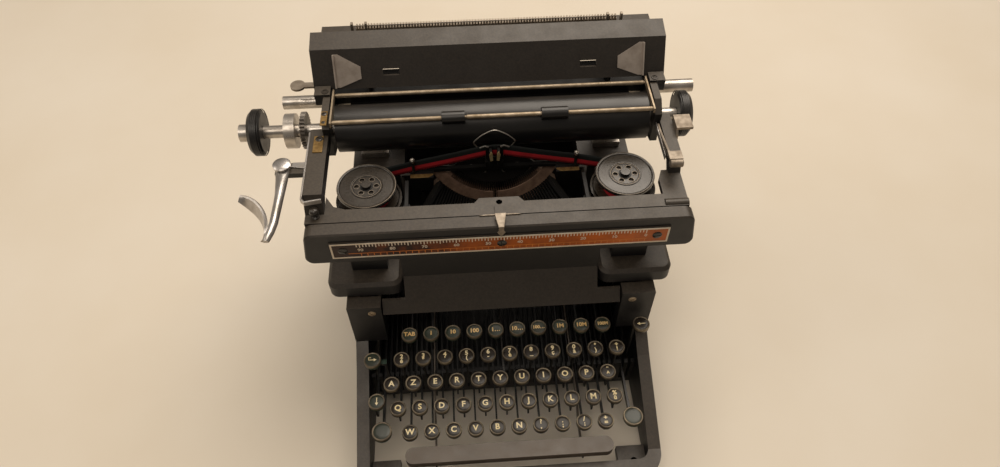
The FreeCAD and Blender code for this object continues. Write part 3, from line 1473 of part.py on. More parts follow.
def make_platen():
    roller = cylinder("X", S.platen_radius, -S.platen_half, S.platen_half,
                      S.platen_y, S.platen_z)
    hole = cylinder("X", S.shaft_radius, -S.platen_half - 1, S.platen_half + 1,
                    S.platen_y, S.platen_z)
    node(cut(roller, hole, "platen"), "platen")
    shaft = [
        cylinder("X", S.shaft_radius, -S.shaft_left, S.shaft_right, S.platen_y, S.platen_z),
        cylinder("X", 7.5, -S.shaft_left - 9.5, -S.shaft_left, S.platen_y, S.platen_z),
        cylinder("X", 15, -S.shaft_left + 30, -S.shaft_left + 39, S.platen_y, S.platen_z),
    ]
    node(fused(shaft, "platen_shaft"), "platen_shaft")
    knobs = new_body("platen_knobs")
    rim = S.knob_radius - S.knob_bevel
    for start, end in ((-S.shaft_left, -S.shaft_left + S.knob_thick),
                       (S.shaft_right - S.knob_thick, S.shaft_right)):
        profile = sketch_on(knobs, "XY")
        outline(profile, [
            (start, S.shaft_radius), (end, S.shaft_radius), (end, rim),
            (end - S.knob_bevel, S.knob_radius), (start + S.knob_bevel, S.knob_radius),
            (start, rim),
        ])
        turned(knobs, profile)
    put(knobs, 0, S.platen_y, S.platen_z)


def make_ratchet():
    """The toothed wheel that spaces the lines."""
    body = new_body("ratchet_wheel")
    disc = sketch_on(body, "YZ")
    circle(disc, 0, 0, S.ratchet_radius - 1.6)
    circle(disc, 0, 0, S.shaft_radius)
    pad(body, disc, 4)
    tooth = sketch_on(body, "YZ")
    radius = S.ratchet_radius
    outline(tooth, [(-1.6, radius - 2.2), (1.2, radius - 2.2), (0.9, radius), (0.4, radius)])
    one = pad(body, tooth, 4)
    ring = body.newObject("PartDesign::PolarPattern", "ratchet_teeth")
    ring.Originals = [one]
    ring.Axis = (origin_part(body, "X_Axis"), [""])
    ring.Angle = 360
    ring.Occurrences = RATCHET_TEETH
    body.Tip = ring
    put(body, -S.ratchet_x, S.platen_y, S.platen_z)


def make_bail():
    half = S.bail_half
    parts = [
        cylinder("X", S.bail_rod, -S.plate_inner - 4, S.plate_inner + 4, S.bail_y, S.bail_z),
        cylinder("X", S.bail_rod, -half, half, S.paper_rod_y, S.paper_rod_z),
    ]
    for start in (-half - 1.4, half):
        link = doc.addObject("Part::Box", "Link")
        dy = S.bail_y - S.paper_rod_y
        bind(link, Length=1.4, Width=dy + 5, Height=5)
        put(link, start, S.paper_rod_y - 2.5, S.paper_rod_z - 3)
        parts.append(link)
    node(fused(parts, "bail_frame"), "bail_frame")
    rollers = []
    for start, end in ((-43, -24), (40, 62)):
        ring = cylinder("X", S.bail_roller, start, end, S.paper_rod_y, S.paper_rod_z)
        hole = cylinder("X", S.bail_rod + S.running_gap, start - 1, end + 1,
                        S.paper_rod_y, S.paper_rod_z)
        rollers.append(cut(ring, hole, "roller"))
    node(fused(rollers, "bail_rollers"), "bail_rollers")


def make_paper_table():
    """A folded sheet that leans behind the platen."""
    body = new_body("paper_table")
    fold = sketch_on(body, "YZ")
    outline(fold, [
        (S.table_low_y, S.table_low_z), (S.table_fold_y, S.table_fold_z),
        (S.table_top_y, S.table_top_z), (S.table_top_y + 0.5, S.table_top_z - 1.4),
        (S.table_fold_y + 1, S.table_fold_z - 1.2), (S.table_low_y + 1.4, S.table_low_z - 0.6),
    ])
    pad(body, fold, 2 * S.table_half, both_ways=True)
    slots = sketch_on(body, "XZ")
    for side in (-1, 1):
        inner, outer = sorted((side * S.guide_slot_x,
                               side * (S.guide_slot_x + S.guide_slot_length)), key=float)
        rectangle(slots, inner, outer, S.table_low_z + 9, S.table_low_z + 14)
    pocket(body, slots)


def make_paper_guides():
    """Two side guides in front of the paper table."""
    slope = atan2_size(S.table_fold_z - S.table_low_z, S.table_fold_y - S.table_low_y)
    for name, side in (("paper_guide_left", -1), ("paper_guide_right", 1)):
        body = new_body(name)
        foot = 1.5
        tip = foot + S.guide_length
        out = side * S.guide_out
        edge = side * (S.guide_out - 4)
        inner = side * (S.guide_out - S.guide_width)
        face = sketch_on(body, "XY", 0.3)
        outline(face, [(out, foot), (out, tip), (edge, tip), (inner, tip - 11),
                       (inner, foot + 7), (edge, foot)])
        pad(body, face, 1.2)
        left, right = sorted((out, side * (S.guide_out - 1.2)), key=float)
        lip = sketch_on(body, "XY", 0.3)
        rectangle(lip, left, right, foot, tip)
        pad(body, lip, S.guide_lip)
        body.Placement = Placement(Vector(), Rotation(X_WAY, slope.value))
        bind(body, Placement__Rotation__Angle=slope)
        put(body, 0, S.table_low_y, S.table_low_z)


def atan2_size(rise, run):
    return Size(math.degrees(math.atan2(rise.value, run.value)),
                f"atan({rise.formula} / {run.formula})")


def make_rear_housing():
    body = new_body("rear_housing")
    face = sketch_on(body, "YZ")
    back = S.housing_front + S.housing_depth
    outline(face, [
        (S.housing_front, S.housing_low), (back, S.housing_low), (back, S.housing_top - 3),
        (back - 3, S.housing_top), (S.housing_front, S.housing_top),
    ])
    pad(body, face, 2 * S.housing_half, both_ways=True)


def make_tab_rack():
    """The notched tabulator rack and the rail that the margin stops slide on."""
    body = loose_body("notched_rack")
    bar = sketch_on(body, "YZ")
    rack_back = S.housing_front + 3
    rack_top = S.housing_top + 5
    rectangle(bar, S.housing_front, rack_back, S.housing_top, rack_top)
    pad(body, bar, TAB_TEETH * S.rack_pitch, both_ways=True)
    tooth = sketch_on(body, "XZ", -rack_back)
    first = -(TAB_TEETH - 1) / 2 * S.rack_pitch
    outline(tooth, [(first - 0.6, rack_top - 0.5), (first + 0.6, rack_top - 0.5),
                    (first + 0.6, rack_top + 3), (first - 0.6, rack_top + 3)])
    one = pad(body, tooth, rack_back - S.housing_front)
    in_line(body, [one], "X", S.rack_pitch, TAB_TEETH)
    parts = [body, box(-S.margin_rail_half, S.margin_rail_half, 150, 154, 256, 262)]
    for side in (-1, 1):
        inner, outer = sorted((side * S.margin_rail_half, side * (S.margin_rail_half - 3)),
                              key=float)
        parts.append(box(inner, outer, 150, S.housing_front, 254, 262))
    node(fused(parts, "tab_and_margin_rack"), "tab_and_margin_rack")


def make_margin_stops():
    for name, side in (("margin_stop_left", -1), ("margin_stop_right", 1)):
        inner, outer = sorted((side * 104, side * 118), key=float)
        gap = S.running_gap
        block = box(inner, outer, 147.5, 155.6, 253.6, 263.6)
        tabs = [box(x, x + 2, 148.5, 152, 263, 280) for x in (inner, outer - 2)]
        hole = box(inner - 1, outer + 1, 150 - gap, 154 + gap, 256 - gap, 262 + gap)
        node(cut(fused([block] + tabs, name), hole, name), name)


def make_return_lever():
    """The line space lever: a flat arm on its pivot with an upright curved paddle."""
    body = loose_body("lever_arm")
    x = -S.lever_pivot_x
    y = S.lever_pivot_y
    low = S.lever_low_z + S.paddle_high
    arm = sketch_on(body, "XY", low)
    outline(arm, [
        (x - 5.5, y + 5), (x - 4, y - 14), (x - 2.5, y - 31), (x - 3, y - 58), (x - 6, y - 74),
        (x - 1, y - 76), (x + 3, y - 61), (x + 4.5, y - 31), (x + 5.5, y - 14), (x + 5.5, y + 5),
    ])
    pad(body, arm, 3)
    hole = sketch_on(body, "XY", low)
    circle(hole, x, y, 3 + S.running_gap)
    pocket(body, hole)
    paddle = loose_body("lever_paddle")
    blade = sketch_on(paddle, "XY")
    sector(blade, S.paddle_radius - S.paddle_thick, S.paddle_radius, S.paddle_half_angle)
    pad(paddle, blade, S.paddle_high + 1)
    paddle.Placement = Placement(Vector(), Rotation(Z_WAY, S.paddle_turn.value))
    bind(paddle, Placement__Rotation__Angle=S.paddle_turn)
    put(paddle, x - S.paddle_left, y - S.paddle_ahead, S.lever_low_z)
    node(fused([body, paddle], "return_lever"), "return_lever")


def lever_bracket():
    """The bracket and headed pin that carry the return lever."""
    x = -S.lever_pivot_x
    y = S.lever_pivot_y
    low = S.lever_low_z + S.paddle_high
    return [
        box(x - 6, 1 - S.left_arm_out, y - 6, y + 6, low - 5, low),
        cylinder("Z", 3, low - 1, low + 4, x, y),
        cylinder("Z", S.lever_head, low + 3.1, low + 5, x, y),
    ]


def bored(body, plane_x, y, z):
    """The pin's hole in a small lever."""
    hole = sketch_on(body, "YZ", plane_x)
    circle(hole, y, z, S.small_pin + S.running_gap)
    pocket(body, hole)


def make_small_levers():
    """The carriage release, the paper release and the line space selector."""
    body = new_body("carriage_release")
    y = S.carriage_pin_y
    z = S.carriage_pin_z
    side = sketch_on(body, "YZ", S.right_arm_out)
    outline(side, [(y - 4, z - 4), (y + 4, z - 4), (y + 6, z + 5), (y + 12, z + 9),
                   (y + 12, z + 11.5), (y + 2, z + 11.5), (y - 3, z + 5)])
    pad(body, side, 2)
    thumb = sketch_on(body, "XY", z + 9)
    rectangle(thumb, S.right_arm_out, S.right_arm_out + 14, y - 1, y + 15)
    pad(body, thumb, 2.5)
    bored(body, S.right_arm_out, y, z)

    paper = new_body("paper_release")
    y = S.paper_pin_y
    z = S.paper_pin_z
    inside = S.plate_inner + 2.6
    side = sketch_on(paper, "YZ", inside)
    outline(side, [(y - 3.5, z - 3.5), (y + 3.5, z - 3.5), (y + 3.5, z + 3.5), (y - 6, z + 4),
                   (y - 34, z + 9), (y - 44, z + 9), (y - 44, z + 7), (y - 34, z + 5)])
    pad(paper, side, 1.6)
    finger = sketch_on(paper, "XY", z + 7)
    rectangle(finger, inside, inside + 11, y - 44, y - 35)
    pad(paper, finger, 2)
    bored(paper, inside, y, z)

    selector = new_body("line_space_selector")
    y = S.selector_pin_y
    z = S.selector_pin_z
    outside = -S.plate_inner - S.plate_thick
    side = sketch_on(selector, "YZ", outside)
    outline(side, [(y - 4, z - 3.5), (y + 4, z - 3.5), (y + 4, z + 10), (y + 9, z + 13.5),
                   (y + 3, z + 13.5), (y - 3, z + 10)])
    pad(selector, side, 1.6, backwards=True)
    finger = sketch_on(selector, "XY", z + 11.5)
    rectangle(finger, outside - 20, outside, y + 3, y + 9)
    pad(selector, finger, 2)
    disc = sketch_on(selector, "XY", z + 11.5)
    circle(disc, outside - 25, y + 6, S.thumb_radius)
    pad(selector, disc, 2)
    bored(selector, outside, y, z)


# ---------------------------------------------------------------- build and write
make_base_frame()
make_feet()
make_top_deck()
make_front_panel()
make_back_panel()
make_scale_bar()
make_scale_plate()
make_rear_rail()
make_lever_comb()
make_keyboard()
make_tab_keys()
make_space_bar()
make_special_keys()
make_segment()
make_type_bars()
make_type_rest()
make_type_links()
make_type_guide()
make_ribbon()
make_spools()
make_spool_cups()
make_carriage_ends()
make_carriage_front_bar()
make_front_roller()
make_carriage_rear_bar()
make_mainspring(make_escapement_wheel())
make_platen()
make_ratchet()
make_bail()
make_paper_table()
make_paper_guides()
make_rear_housing()
make_tab_rack()
make_margin_stops()
make_return_lever()
make_small_levers()

doc.recompute()
for item in doc.Objects:
    if "Invalid" in item.State or "Error" in item.State:
        raise RuntimeError(f"{item.Label} ({item.Name}) failed: {item.State}")
os.makedirs("parts", exist_ok=True)
for thing in NODES:
    shape = thing.Shape
    if shape.isNull() or not shape.isValid():
        raise RuntimeError(f"{thing.Label} has no valid shape")
    shape.exportStep(f"parts/{thing.Label}.step")
    box_now = shape.BoundBox
    print(f"{thing.Label:22s} {len(shape.Solids):3d} solids "
          f"X {box_now.XMin:7.1f} {box_now.XMax:7.1f} Y {box_now.YMin:7.1f} {box_now.YMax:7.1f} "
          f"Z {box_now.ZMin:6.1f} {box_now.ZMax:6.1f}")
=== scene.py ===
# %% [markdown]
# # A desk typewriter
# The solids of the machine come in as a fixed frame. This lesson dresses them: it gives cast
# iron its baked enamel, builds the small pieces that a solid model leaves plain, such as ringed
# keys with their letters, and lights the machine on a pale floor.
# Blender works in metres, with X to the right, Y to the back and Z up. Sizes below are written in
# millimetres and turned into metres once.

# %% Load the frame
import bmesh
import bpy
import math
from mathutils import Matrix, Vector


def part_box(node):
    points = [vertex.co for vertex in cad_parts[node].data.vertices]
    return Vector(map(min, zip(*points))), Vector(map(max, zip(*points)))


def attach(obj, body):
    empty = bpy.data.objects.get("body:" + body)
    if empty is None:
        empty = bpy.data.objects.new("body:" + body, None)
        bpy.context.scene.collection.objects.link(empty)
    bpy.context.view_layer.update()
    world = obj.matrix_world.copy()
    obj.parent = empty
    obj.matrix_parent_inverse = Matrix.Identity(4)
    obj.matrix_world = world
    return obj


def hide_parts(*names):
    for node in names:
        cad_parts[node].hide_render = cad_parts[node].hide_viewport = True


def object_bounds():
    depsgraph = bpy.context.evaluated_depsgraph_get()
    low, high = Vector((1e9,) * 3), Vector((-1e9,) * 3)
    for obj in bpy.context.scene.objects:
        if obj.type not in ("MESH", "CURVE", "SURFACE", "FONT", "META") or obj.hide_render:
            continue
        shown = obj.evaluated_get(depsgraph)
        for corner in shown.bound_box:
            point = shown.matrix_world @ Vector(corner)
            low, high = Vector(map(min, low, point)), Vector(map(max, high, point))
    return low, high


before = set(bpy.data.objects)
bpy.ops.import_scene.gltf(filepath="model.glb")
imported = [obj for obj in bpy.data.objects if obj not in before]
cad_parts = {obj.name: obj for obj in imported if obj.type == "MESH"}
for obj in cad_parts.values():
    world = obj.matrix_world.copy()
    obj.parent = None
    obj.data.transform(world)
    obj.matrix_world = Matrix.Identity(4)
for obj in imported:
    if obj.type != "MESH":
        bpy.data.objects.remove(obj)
cad_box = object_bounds()
mm = 0.001


def corners(node):
    """The lowest and highest corner of a solid, in millimetres."""
    return [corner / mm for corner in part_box(node)]


# %% [markdown]
# ## Colours and shader nodes
# A colour is given as an sRGB hex code, but shaders add up light, so each code is turned
# into linear values. A second helper adds a shader node with its settings and links, so that a
# material reads as a short list of what the finish is made of.

# %% Colour and node helpers
def linear(code):
    """A hex colour such as 8a8f94 as linear red, green, blue and alpha."""
    parts = [int(code[i:i + 2], 16) / 255 for i in (0, 2, 4)]
    return [c / 12.92 if c <= 0.04045 else ((c + 0.055) / 1.055) ** 2.4 for c in parts] + [1.0]


def add(material, kind, inputs=None, **settings):
    """Adds a shader node. An input is a plain value or another node's output socket."""
    tree = material.node_tree
    node = tree.nodes.new("ShaderNode" + kind)
    for name, value in settings.items():
        setattr(node, name, value)
    for name, value in (inputs or {}).items():
        if isinstance(value, bpy.types.NodeSocket):
            tree.links.new(value, node.inputs[name])
        else:
            node.inputs[name].default_value = value
    return node


def new_material(name, **surface):
    """A material with one Principled surface and its plain values."""
    material = bpy.data.materials.new(name)
    material.use_nodes = True
    shader = material.node_tree.nodes["Principled BSDF"]
    for socket, value in surface.items():
        shader.inputs[socket.replace("_", " ")].default_value = value
    return material


def link(material, output, socket):
    """Joins a node's output to an input of the material's surface."""
    shader = material.node_tree.nodes["Principled BSDF"]
    material.node_tree.links.new(output, shader.inputs[socket])


print("mid grey is", [round(c, 3) for c in linear("808080")[:3]])

# %% [markdown]
# ## What a worn finish is made of
# Nearly every surface here has three layers: a colour that drifts over some centimetres, a gloss
# broken by finger marks, and a fine bump. One recipe makes all three from noise at a real size,
# and each finish only says how much it has of each. Dust lies only on faces that look up, which
# is what tells a stored machine from a new one. The same warm grey is also painted light: it
# brightens the faces that look up, as light from above would.

# %% The recipe for a worn surface
def grain(material, size, detail=4.0, roughness=0.55, stretch=None):
    """Noise whose blobs are about size millimetres across."""
    place = add(material, "TexCoord").outputs["Object"]
    if stretch:
        place = add(material, "Mapping", {"Vector": place, "Scale": stretch}).outputs["Vector"]
    noise = add(material, "TexNoise", {"Vector": place, "Scale": 1.0 / (size * mm),
                                       "Detail": detail, "Roughness": roughness})
    return noise.outputs["Fac"]


def spread(material, source, low, high, start=0.3, end=0.7):
    """Stretches a pattern, from start to end, to the range low to high."""
    node = add(material, "MapRange", {"Value": source, "From Min": start, "From Max": end,
                                      "To Min": low, "To Max": high})
    return node.outputs["Result"]


def blend_colours(material, factor, first, second):
    """Mixes two colours, each a plain one or another node's output."""
    node = add(material, "Mix", {"Factor": factor, 6: first, 7: second}, data_type="RGBA")
    return node.outputs[2]


def drifting(material, size, first, second):
    """Two hex colours in blotches about size millimetres across."""
    return blend_colours(material, spread(material, grain(material, size), 0, 1),
                         linear(first), linear(second))


def roughen(material, height, depth, strength=1.0):
    """Bumps the surface by a pattern, to a depth in millimetres."""
    bump = add(material, "Bump", {"Height": height, "Strength": strength, "Distance": depth * mm})
    link(material, bump.outputs["Normal"], "Normal")


# Warm grey for dust on upward faces, and also painted top light: it brightens the faces that look
# up.
dust_colour = linear("93826c")
dust_speck = 2


def worn(name, colour, second, gloss, bump_size, bump_height, drift=30, dust=0.0,
         stretch=None, **surface):
    """A finish with drifting colour, uneven gloss, a fine bump, and dust that is also painted top
    light, sized in millimetres.
    """
    material = new_material(name, **surface)
    tone = drifting(material, drift, colour, second)
    # Upward faces are mixed towards the warm grey: dust and painted top light at once.
    if dust:
        facing = add(material, "SeparateXYZ", {0: add(material, "NewGeometry").outputs["Normal"]})
        speck = spread(material, grain(material, dust_speck, 8.0, 0.7), 0.4 * dust, dust,
                       0.35, 0.8)
        lying = add(material, "Math", {0: facing.outputs["Z"], 1: speck}, operation="MULTIPLY",
                    use_clamp=True)
        tone = blend_colours(material, lying.outputs[0], tone, dust_colour)
    link(material, tone, "Base Color")
    low, high = gloss
    link(material, spread(material, grain(material, drift / 2, 6.0), low, high), "Roughness")
    roughen(material, grain(material, bump_size, 2.0, 0.5, stretch), bump_height)
    return material


print("a recipe of", worn.__code__.co_argcount, "settings")

# %% [markdown]
# ## Enamel, rubber and plastic
# Baked enamel on a casting is black, satin and a little orange-peeled. On pressed parts a clear
# top layer shines harder. Hard rubber and key tops are as dark, but smoother. The finishes
# differ in only a few numbers, so one line of the recipe makes each.

# %% Dark finishes
# Each finish's dust amount also sets how much painted top light its upward faces get.
# The castings: nearly black, with a fine orange peel that breaks up each highlight.
enamel = worn("satin_enamel", "0c0b0d", "111012", (0.42, 0.54), 1.2, 0.04, dust=0.24)
# The carriage's machined castings: thinner paint, so flatter and a shade browner.
thin_enamel = worn("thin_enamel", "0f0e0e", "131211", (0.4, 0.5), 3, 0.02, dust=0.26)
# Spools and cups: pressed sheet with a harder shine, which draws their rims as bright lines. On
# the spools, thin nickel rings add painted highlights to those rims.
pressed_enamel = worn("pressed_enamel", "0e0d0d", "131211", (0.22, 0.32), 4, 0.005,
                      dust=0.17, Coat_Weight=0.2, Coat_Roughness=0.25)
# The works: oily black steel that hardly reflects, so the throat stays dark.
oily_steel = worn("oily_steel", "0c0b0a", "131110", (0.42, 0.6), 0.8, 0.01, Metallic=0.2)
# The type basket: dark steel, its colour darkened further as painted shade for the shadow
# between the bars in the throat. The low IOR keeps it from shining.
soot_steel = worn("basket_steel_painted_shade", "070606", "0b0a09", (0.6, 0.8), 0.8, 0.01, IOR=1.25)
# The platen: ground rubber, with faint rings from years of paper.
platen_rubber = worn("platen_rubber", "0d0d0e", "141415", (0.28, 0.38), 1.2, 0.01,
                     drift=50, dust=0.05, stretch=(6.0, 0.4, 0.4))
# Knobs: turned hard rubber, matt with a slight polish on the grip.
hard_rubber = worn("hard_rubber", "121213", "1b1b1c", (0.34, 0.5), 1.5, 0.02, dust=0.06)
# The feet: soft rubber, dull all over, so they sink into their own shadow.
foot_rubber = worn("foot_rubber", "171717", "232221", (0.6, 0.8), 1.5, 0.05)
# Key tops: gloss over black, so each one catches a small window.
key_black = worn("key_black", "110d0a", "1c1612", (0.24, 0.34), 3, 0.005, dust=0.05, IOR=1.4)
# The tabulator and shift keys: the same gloss over dark green.
key_green = worn("key_green", "0c1c14", "15291d", (0.3, 0.4), 3, 0.005, dust=0.08)
# The space bar: dark satin grey, painted lighter and warmer as a painted reflection of the
# light on its top, with a broad dull shine.
space_grey = worn("space_grey", "443c34", "52483e", (0.36, 0.5), 2, 0.02, dust=0.14, drift=20)
print(len(bpy.data.materials), "materials so far")

# %% [markdown]
# ## Bare metal
# Nickel plate is warm and slightly yellow beside chrome. It stays bright on the return lever,
# which is used all day, and goes grey and blotched on the rods. Brass shows where it was never
# plated.

# %% Metal finishes
# Handled nickel: bright, with soft blotches, for levers and shafts.
nickel = worn("bright_nickel", "cfc9c1", "a79f95", (0.26, 0.38), 2, 0.003, drift=12, Metallic=0.85)
# The return lever and its strap, wiped bright by the hand all day.
lever_nickel = worn("lever_nickel", "cfcbc8", "9d978f", (0.26, 0.38), 2, 0.003,
                    drift=12, Metallic=0.8)
# Rods that are only wiped: duller and browner.
dull_nickel = worn("dull_nickel", "b5a58f", "8b7b64", (0.42, 0.58), 0.8, 0.02, drift=8,
                   Metallic=0.75)
# Punched plates of the same plating, tilted to every side, so kept from flashing white.
plate_nickel = worn("plate_nickel", "a3988a", "7d7265", (0.45, 0.6), 0.8, 0.02,
                    drift=8, Metallic=0.8)
# Turned steel of the wheel and roller: grey with a cut grain.
grey_steel = worn("grey_steel", "8d8780", "66605a", (0.3, 0.5), 0.6, 0.02, Metallic=1.0)
# Unplated brass gone brown, with only its ridges still yellow.
brass = worn("old_brass", "9c7f4e", "6b5432", (0.4, 0.55), 0.8, 0.02, drift=4, Metallic=0.8)
# The cheeks of the type guide are wiped with each letter, so they stay pale and bright.
pale_brass = worn("pale_brass", "d8c396", "b59c68", (0.35, 0.5), 0.8, 0.01, drift=4, Metallic=0.6)
# The dark rims that hold the key tops, rubbed to a dull edge.
rim_nickel = worn("rim_nickel", "7a6f5c", "4c443a", (0.36, 0.5), 0.8, 0.005, drift=10,
                  Metallic=0.6)
# The paper guides: thin plate, buffed to a soft satin that stays pale at any angle.
satin_nickel = worn("satin_nickel", "b3a89e", "988d83", (0.4, 0.55), 0.8, 0.01,
                    drift=8, Metallic=0.4)
print(len(bpy.data.materials), "materials so far")

# %% [markdown]
# ## Paint, ink and cloth
# Legends and scale marks are thin enamel paint, slightly yellowed. The scale plate is
# varnished brass gone amber, darker towards its left end. The ribbon is woven cotton, black
# along its upper half and red along its lower half. Paint takes the recipe of enamel, and
# varnish and cloth each need a pattern of their own.

# %% Paint, ink and cloth finishes
# Letters on the keys: matt cream that reads well on the black gloss.
legend_paint = worn("legend_paint", "f2e3bd", "dcc892", (0.5, 0.65), 2, 0.01)
# The tabulator's letters have yellowed more.
legend_amber = worn("legend_amber", "e8c78c", "cfa968", (0.5, 0.65), 2, 0.01)
# Edge, marks and numbers of the scale: a little shinier and paler.
cream_paint = worn("cream_paint", "dccfbc", "c4b49c", (0.4, 0.55), 2, 0.01, drift=10)
# The scale's lower comb, which stands out from the amber by its warmth only.
orange_paint = worn("orange_paint", "d07a24", "a8581a", (0.5, 0.6), 2, 0.01)


def amber_varnish():
    """Varnish over brass: dark brown at the left end, amber at the right."""
    material = new_material("amber_varnish", Roughness=0.4, IOR=1.4)
    place = add(material, "SeparateXYZ", {0: add(material, "TexCoord").outputs["Object"]})
    along = spread(material, place.outputs["X"], 0, 1, -120 * mm, 130 * mm)
    blotch = spread(material, grain(material, 20, 5.0), -0.35, 0.35)
    depth = add(material, "Math", {0: along, 1: blotch}, operation="ADD", use_clamp=True)
    tone = blend_colours(material, depth.outputs[0], linear("260b04"), linear("b85a0c"))
    link(material, tone, "Base Color")
    return material


thread_gap = 0.25 * mm


def woven(name, colour, second):
    """Cotton tape: a fine plain weave, dull with ink."""
    material = new_material(name, Roughness=0.82)
    place = add(material, "TexCoord").outputs["Object"]
    threads = 2 * math.pi / (20 * thread_gap)
    across = add(material, "TexWave", {"Vector": place, "Scale": threads}, bands_direction="X")
    up = add(material, "TexWave", {"Vector": place, "Scale": threads}, bands_direction="Z")
    weave = add(material, "Math", {0: across.outputs["Fac"], 1: up.outputs["Fac"]},
                operation="MULTIPLY")
    link(material, drifting(material, 20, colour, second), "Base Color")
    roughen(material, weave.outputs[0], 0.06, 0.6)
    return material


scale_amber = amber_varnish()
ribbon_red = woven("ribbon_red", "c8202c", "a3161f")
ribbon_black = woven("ribbon_black", "080b0b", "0e1412")
print(len(bpy.data.materials), "materials so far")

# %% [markdown]
# ## The segment's two tones
# The ring sector that carries the type bars has a bright worn face where the bars are wiped, and
# an oily dark plate inside it. Both belong to one solid, so its material measures how far each
# point lies from the ring's axis, in the tilted plane of the basket.

# %% Segment
basket_centre = (0, 76.7 * mm, 212.3 * mm)
basket_tilt = math.radians(70)
worn_face_start = 50 * mm


def segment_steel():
    """Brown-grey worn steel on the outer ring, nearly black inside it."""
    material = new_material("segment_steel", Metallic=0.4, Roughness=0.5)
    basket = add(material, "Mapping", {"Vector": add(material, "TexCoord").outputs["Object"],
                                       "Location": basket_centre,
                                       "Rotation": (basket_tilt, 0, 0)}, vector_type="TEXTURE")
    flat = add(material, "VectorMath", {0: basket.outputs["Vector"], 1: (1.0, 1.0, 0.0)},
               operation="MULTIPLY")
    radius = add(material, "VectorMath", {0: flat.outputs["Vector"]}, operation="LENGTH")
    outside = spread(material, radius.outputs["Value"], 0, 1, worn_face_start,
                     worn_face_start + 1.5 * mm)
    rust = drifting(material, 6, "8f7462", "6a5445")
    link(material, blend_colours(material, outside, linear("1d1a18"), rust), "Base Color")
    roughen(material, grain(material, 0.8), 0.03)
    return material


worn_segment = segment_steel()
print("worn face starts", round(worn_face_start / mm), "mm from the axis")

# %% [markdown]
# ## Dressing the solids
# A solid whose shape is already right only needs its finish. The frame gives each one as an
# object with its slots, so a table from finish to solids is enough.

# %% Finishes of the solids
FINISHES = {
    enamel: ["base_frame", "top_deck", "front_panel", "back_panel", "scale_bar", "paper_table",
             "rear_housing", "scale_plate"],
    thin_enamel: ["carriage_left_end", "carriage_right_end", "carriage_front_bar"],
    pressed_enamel: ["spool_cups", "spool_left", "spool_right"],
    nickel: ["rear_rail", "platen_shaft"],
    satin_nickel: ["paper_guide_left", "paper_guide_right"],
    lever_nickel: ["return_lever"],
    plate_nickel: ["carriage_release", "tab_and_margin_rack", "margin_stop_left",
                   "margin_stop_right", "paper_release", "line_space_selector"],
    dull_nickel: ["bail_frame"],
    grey_steel: ["front_roller", "ratchet_wheel", "mainspring_drum"],
    soot_steel: ["type_bars", "type_bar_middle", "type_rest", "type_links"],
    oily_steel: ["carriage_rear_bar", "type_guide", "lever_comb", "levers_lower", "levers_home",
                 "levers_upper", "levers_number", "levers_tab", "rear_brackets"],
    worn_segment: ["segment"],
    brass: ["escapement_wheel"],
    platen_rubber: ["platen", "bail_rollers"],
    hard_rubber: ["platen_knobs"],
    foot_rubber: ["rubber_feet"],
    key_black: ["key_tops_lower", "key_tops_home", "key_tops_upper", "key_tops_number",
                "key_middle"],
    key_green: ["key_tops_tab"],
    space_grey: ["space_bar"],
}


def dress(node, finish):
    """Puts one finish on all slots of a solid."""
    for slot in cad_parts[node].material_slots:
        slot.material = finish


for finish, nodes in FINISHES.items():
    for node in nodes:
        dress(node, finish)
dressed = sum(len(nodes) for nodes in FINISHES.values())
print(dressed, "solids dressed, of", len(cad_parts))

# %% [markdown]
# ## Keys that are one solid with their lever
# The shift, lock, release and backspace keys each form one solid with a lever. Splitting the
# solid isn't allowed, so the material does it: it measures the height and turns from black
# steel to key gloss where the key begins.

# %% Keys with their levers
key_thickness = 4.2 * mm


def key_on_lever(node, top, first, second):
    """Gloss on the key top of a solid that is a key and its lever, and black steel below."""
    material = new_material(node + "_finish", Roughness=0.38)
    height = add(material, "SeparateXYZ", {0: add(material, "TexCoord").outputs["Object"]})
    key_foot = top - key_thickness
    is_key = spread(material, height.outputs["Z"], 0, 1, key_foot - 0.3 * mm, key_foot)
    gloss = drifting(material, 6, first, second)
    link(material, blend_colours(material, is_key, linear("0e0d0c"), gloss), "Base Color")
    return material


LEVER_KEYS = [("shift_keys", "1d3327", "2a4434"), ("shift_lock_key", "14281d", "1f3a2b"),
              ("margin_release_key", "14281d", "1f3a2b"),
              ("backspace_key", "120e0b", "1e1814")]
for node, first, second in LEVER_KEYS:
    dress(node, key_on_lever(node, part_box(node)[1].z, first, second))
print(dressed + len(LEVER_KEYS), "solids dressed, of", len(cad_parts))

# %% [markdown]
# ## Places and pieces
# Turned parts, punched plates and bent wire make up nearly everything on this machine. A few
# makers, each defined where it is first needed, add such forms in millimetres to a shape. The
# shape then becomes one smooth piece with its finish, and rides on the body that carries it.

# %% Places and pieces
UP = Matrix.Identity(4)
FRONT = Matrix.Rotation(math.radians(90), 4, "X")
LEFT = Matrix.Rotation(math.radians(-90), 4, "Y")
RIGHT = Matrix.Rotation(math.radians(90), 4, "Y")
soft_angle = math.radians(40)


def at(x, y, z, facing=UP):
    """A place in millimetres, with its own Z axis facing one way."""
    return Matrix.Translation((x, y, z)) @ facing


def mount(item, finish, body):
    """Puts an object with its finish into the scene, riding on a body."""
    item.data.materials.append(finish)
    bpy.context.collection.objects.link(item)
    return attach(item, body)


